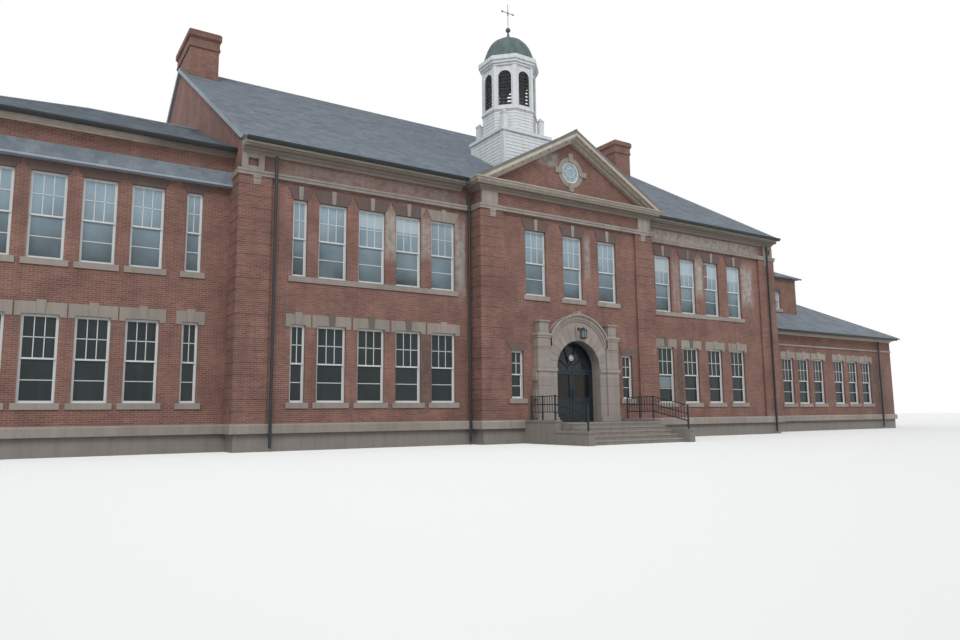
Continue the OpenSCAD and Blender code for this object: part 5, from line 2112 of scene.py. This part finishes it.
@dataclass
class ChimneyCaps:
    """Corbelled brick courses at the head of each stack.

    Attributes:
        tall: Height of the whole cap.
        out: Widest projection.
    """

    tall: float = 0.43
    out: float = 0.052

    def build(self, shop: PaintShop) -> None:
        """Lay the courses round both stacks, over the plain solid's own cap.

        Args:
            shop: The finishes.
        """
        work = Workpiece("chimney_caps")
        plain_out = 0.04
        for low, high in islands("chimneys"):
            plain_inset = Vector((plain_out, plain_out, 0))
            low, high = low + plain_inset, high - plain_inset
            for foot, head, share in ((0.0, 0.14, 0.5), (0.14, 0.54, 0.26), (0.54, 0.62, 0.6),
                    (0.62, 0.92, 1.0), (0.92, 0.995, 0.5)):
                grow = self.out * share
                z0 = high.z - self.tall * (1 - foot)
                z1 = high.z - self.tall * (1 - head)
                work.block(Vector((low.x - grow, low.y - grow, z0)),
                    Vector((high.x + grow, high.y + grow, z1)))
        work.done(Body.BUILDING, Slot.LIMESTONE, shop.materials["brick"])


@dataclass
class Balusters:
    """Upright bars of the stair railings.

    Attributes:
        pitch: Distance between two bars.
        thick: Thickness of a bar.
        bend: Where the railing turns down the flight.
    """

    pitch: float = 0.075
    thick: float = 0.01
    bend: float = -1.2925

    def build(self, shop: PaintShop) -> None:
        """Stand the bars between the lowest and the highest rail.

        Args:
            shop: The finishes.
        """
        work = Workpiece("balusters")
        for low, high in islands("railings"):
            x = (low.x + high.x) / 2
            top, foot = high.z - 0.024, high.z - 0.33
            drop = 0.2
            front = low.y
            y = high.y - self.pitch
            while y > front + self.pitch / 2:
                share = max(0.0, (self.bend - y) / (self.bend - front))
                work.block(
                    Vector((x - self.thick / 2, y, foot - share * drop)),
                    Vector((x + self.thick / 2, y + self.thick, top - share * drop)),
                )
                y -= self.pitch
        work.done(Body.BUILDING, Slot.DARK, shop.materials["dark_paint"])


@dataclass
class FanlightBoss:
    """The pale lozenge on a ring in the middle of the fanlight.

    Attributes:
        centre: Its middle.
        radius: Radius of the ring.
    """

    centre: Vector = field(default_factory=lambda: Vector((-0.01, -0.235, 1.76)))
    radius: float = 0.062

    def build(self, shop: PaintShop) -> None:
        """Model the ring and the lozenge.

        Args:
            shop: The finishes.
        """
        work = Workpiece("fanlight_boss")
        RoundWindow(self.centre, self.radius, 0.012).ring(
            work, self.radius, self.radius - 0.012, 0.012
        )
        reach = self.radius * 0.7
        outline = [(reach, 0.0), (0.0, reach), (-reach, 0.0), (0.0, -reach)]
        work.slab([(self.centre.x + x, self.centre.z + z) for x, z in outline],
            self.centre.y - 0.004, self.centre.y + 0.004)
        work.done(Body.BUILDING, Slot.WHITE, shop.materials["belfry_paint"])


@dataclass
class RakeBlocks:
    """Small blocks under the raking cornice of the pediment.

    Attributes:
        apex: Height of the pediment's outer apex.
        half: Half its width.
        rise: Slope of its sides.
        pitch: Distance between two blocks.
    """

    apex: float = 6.717
    half: float = 2.35
    rise: float = math.tan(math.radians(29.2))
    pitch: float = 0.24

    def build(self, shop: PaintShop) -> None:
        """Set the blocks along both sides.

        Args:
            shop: The finishes.
        """
        work = Workpiece("rake_blocks")
        drop, size = 0.152, Vector((0.018, 0.03, 0.012))
        steps = int(self.half / self.pitch)
        for side in (-1, 1):
            slope = Matrix.Rotation(side * math.atan(self.rise), 4, "Y")
            for i in range(1, steps):
                x = i * self.pitch
                middle = Vector((side * x, -0.36 - 0.21, self.apex - drop - x * self.rise))
                work.block(-size, size, Matrix.Translation(middle) @ slope)
        work.done(Body.BUILDING, Slot.CREAM, shop.materials["cream_paint"])


@dataclass
class PierFacings:
    """Brick that leaves the piers' grooves only as deep as they look.

    Attributes:
        depth: Depth of a groove.
        leg: Thickness of a pier's facing.
    """

    depth: float = 0.006
    leg: float = 0.047

    def build(self, shop: PaintShop) -> None:
        """Face the front and the outer side of each pier.

        Args:
            shop: The finishes.
        """
        work = Workpiece("pier_facings")
        inset = Vector((self.depth, self.depth, MM))
        for low, high in islands("corner_piers"):
            low, high = low + inset, high - inset
            work.block(low, Vector((high.x, low.y + self.leg - self.depth, high.z)))
            if low.x < 0:
                near, far = low.x, low.x + self.leg - self.depth
            else:
                near, far = high.x - self.leg + self.depth, high.x
            start = low.y + self.leg - self.depth + MM
            work.block(Vector((near, start, low.z)), Vector((far, high.y, high.z)))
        work.done(Body.BUILDING, Slot.LIMESTONE, shop.materials["front_brick"])


@dataclass
class BottomRails:
    """White wooden sills at the foot of each window.

    Attributes:
        height: Height of a sill.
        out: How far it stands out of the window's frame.
        least: Least height of a window that has one.
    """

    height: float = real_mm(75)
    out: float = real_mm(14)
    least: float = 0.5

    def build(self, shop: PaintShop) -> None:
        """Lay a sill in front of each frame.

        Args:
            shop: The finishes.
        """
        work = Workpiece("bottom_rails")
        for low, high in islands("window_frames"):
            if high.z - low.z < self.least:
                continue
            size = high - low
            axis = 1 if size.x > size.y else 0
            start, end = low.copy(), Vector((high.x, high.y, low.z + self.height))
            middle = (low[axis] + high[axis]) / 2
            if axis == 1:
                outward = 1 if middle > 6.4 or (middle > 3.0 and abs(low.x) < 6.9) else -1
            else:
                outward = 1 if low.x > 0 else -1
            if outward < 0:
                start[axis], end[axis] = low[axis] - self.out, low[axis] + self.out
            else:
                start[axis], end[axis] = high[axis] - self.out, high[axis] + self.out
            work.block(start, end)
        work.done(Body.BUILDING, Slot.WHITE, shop.materials["white_paint"])


@dataclass
class StepNosings:
    """Worn pale edges of the entrance steps.

    Attributes:
        half: Half the width of the steps.
        front: Front of the lowest step.
        going: Depth of a tread.
        riser: Height of a step.
        steps: Number of steps.
    """

    half: float = 1.233
    front: float = -2.145
    going: float = 0.155
    riser: float = 0.08
    steps: int = 5

    def build(self, shop: PaintShop) -> None:
        """Lay an edge on each step.

        Args:
            shop: The finishes.
        """
        work = Workpiece("step_nosings")
        for i in range(self.steps):
            y, z = self.front + i * self.going, (i + 1) * self.riser
            work.block(
                Vector((-self.half, y - 0.01, z - 0.022)), Vector((self.half, y + 0.05, z + MM))
            )
        work.done(Body.BUILDING, Slot.LIMESTONE, shop.materials["limestone"])


@dataclass
class Photographer:
    """Camera, floor and light.

    Attributes:
        place: The camera's place.
        yaw: Turn to the right of the building's depth axis, in degrees.
        pitch: Tilt upwards, in degrees.
        roll: Turn about the view, in degrees.
        lens: Focal length on a 36 mm sensor.
        sky: Strength of the even light.
        sun: Strength of the soft lamp.
    """

    place: Vector = field(default_factory=lambda: Vector((-10.138, -12.287, 0.57)))
    yaw: float = 32.9684
    pitch: float = 7.3938
    roll: float = -0.58397
    lens: float = 27.441
    sky: float = 1.0
    sun: float = 1.25

    def build(self) -> None:
        """Set up the whole stage."""
        self.camera()
        self.floor()
        self.light()

    def camera(self) -> None:
        """Stand the camera where the photograph was taken."""
        yaw, pitch, roll = (math.radians(a) for a in (self.yaw, self.pitch, self.roll))
        forward = Vector(
            (math.sin(yaw) * math.cos(pitch), math.cos(yaw) * math.cos(pitch), math.sin(pitch))
        )
        right = Vector((math.cos(yaw), -math.sin(yaw), 0))
        above = right.cross(forward)
        turned_right = right * math.cos(roll) + above * math.sin(roll)
        turned_above = above * math.cos(roll) - right * math.sin(roll)
        data = bpy.data.cameras.new("camera")
        data.sensor_width = 36.0
        data.lens = self.lens
        data.clip_end = 500
        made = bpy.data.objects.new("camera", data)
        turn = Matrix((turned_right, turned_above, -forward)).transposed().to_4x4()
        made.matrix_world = Matrix.Translation(self.place) @ turn
        bpy.context.scene.collection.objects.link(made)
        bpy.context.scene.camera = made

    def floor(self) -> None:
        """Lay a plain pale floor that keeps the building's shadow."""
        bm = bmesh.new()
        bmesh.ops.create_grid(bm, x_segments=1, y_segments=1, size=150)
        mesh = bpy.data.meshes.new("floor_sheet")
        bm.to_mesh(mesh)
        bm.free()
        material = bpy.data.materials.new("pale_floor")
        material.use_nodes = True
        tree = material.node_tree
        tree.nodes.clear()
        shader = add(
            tree, "ShaderNodeBsdfDiffuse", {"Color": linear("#d9d9d6"), "Roughness": 1.0}
        )
        add(tree, "ShaderNodeOutputMaterial", {"Surface": shader.outputs["BSDF"]})
        mesh.materials.append(material)
        floor = bpy.data.objects.new("floor_sheet", mesh)
        floor.location.z = -MM
        bpy.context.scene.collection.objects.link(floor)
        floor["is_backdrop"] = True

    def light(self) -> None:
        """Light the building evenly, as under an overcast sky."""
        scene = bpy.context.scene
        scene.view_settings.view_transform = "Standard"
        world = bpy.data.worlds.new("overcast")
        scene.world = world
        world.use_nodes = True
        tree = world.node_tree
        tree.nodes.clear()
        path = add(tree, "ShaderNodeLightPath").outputs
        seen = path["Is Camera Ray"]
        for ray in ("Is Glossy Ray", "Is Transmission Ray"):
            seen = add(
                tree, "ShaderNodeMath", {0: seen, 1: path[ray]}, operation="MAXIMUM"
            ).outputs[0]
        even = add(
            tree, "ShaderNodeBackground", {"Color": linear("#f1f4f8"), "Strength": self.sky}
        )
        white = add(tree, "ShaderNodeBackground", {"Color": linear("#ffffff"), "Strength": 1.0})
        mixed = add(
            tree, "ShaderNodeMixShader",
            {0: seen, 1: even.outputs["Background"], 2: white.outputs["Background"]},
        )
        add(tree, "ShaderNodeOutputWorld", {"Surface": mixed.outputs["Shader"]})
        data = bpy.data.lights.new("soft_sun", "SUN")
        data.energy = self.sun
        data.angle = math.radians(25)
        lamp = bpy.data.objects.new("soft_sun", data)
        lamp.rotation_euler = (math.radians(48), 0, math.radians(-30))
        scene.collection.objects.link(lamp)


def main() -> None:
    """Dress the building piece by piece."""
    logging.basicConfig(level=logging.INFO, format="%(message)s")
    Photographer().build()
    shop = PaintShop(Palette())
    shop.dress_nodes()
    SashBars().build(shop)
    for node in ("roof_front", "roof_rear", "pediment_roof", "wing_roofs"):
        SlateRoof(node).build(shop)
    RidgeRolls().build(shop)
    Clapboards().build(shop)
    for body in (Body.DOOR_LEFT, Body.DOOR_RIGHT):
        DoorJoinery(body).build(shop)
    GoredDome().build(shop)
    for part in (StoneTrim(), Portal(), Lantern(), RoundWindow(), BelfryTrim(), ChimneyCaps(),
            Balusters(), FanlightBoss(), RakeBlocks(), PierFacings(), BottomRails(),
            StepNosings()):
        part.build(shop)
    boxes = {"cad": CAD_BOX, "visual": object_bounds()}
    {name: [list(low), list(high)] for name, (low, high) in boxes.items()}


if __name__ == "__main__":
    main()
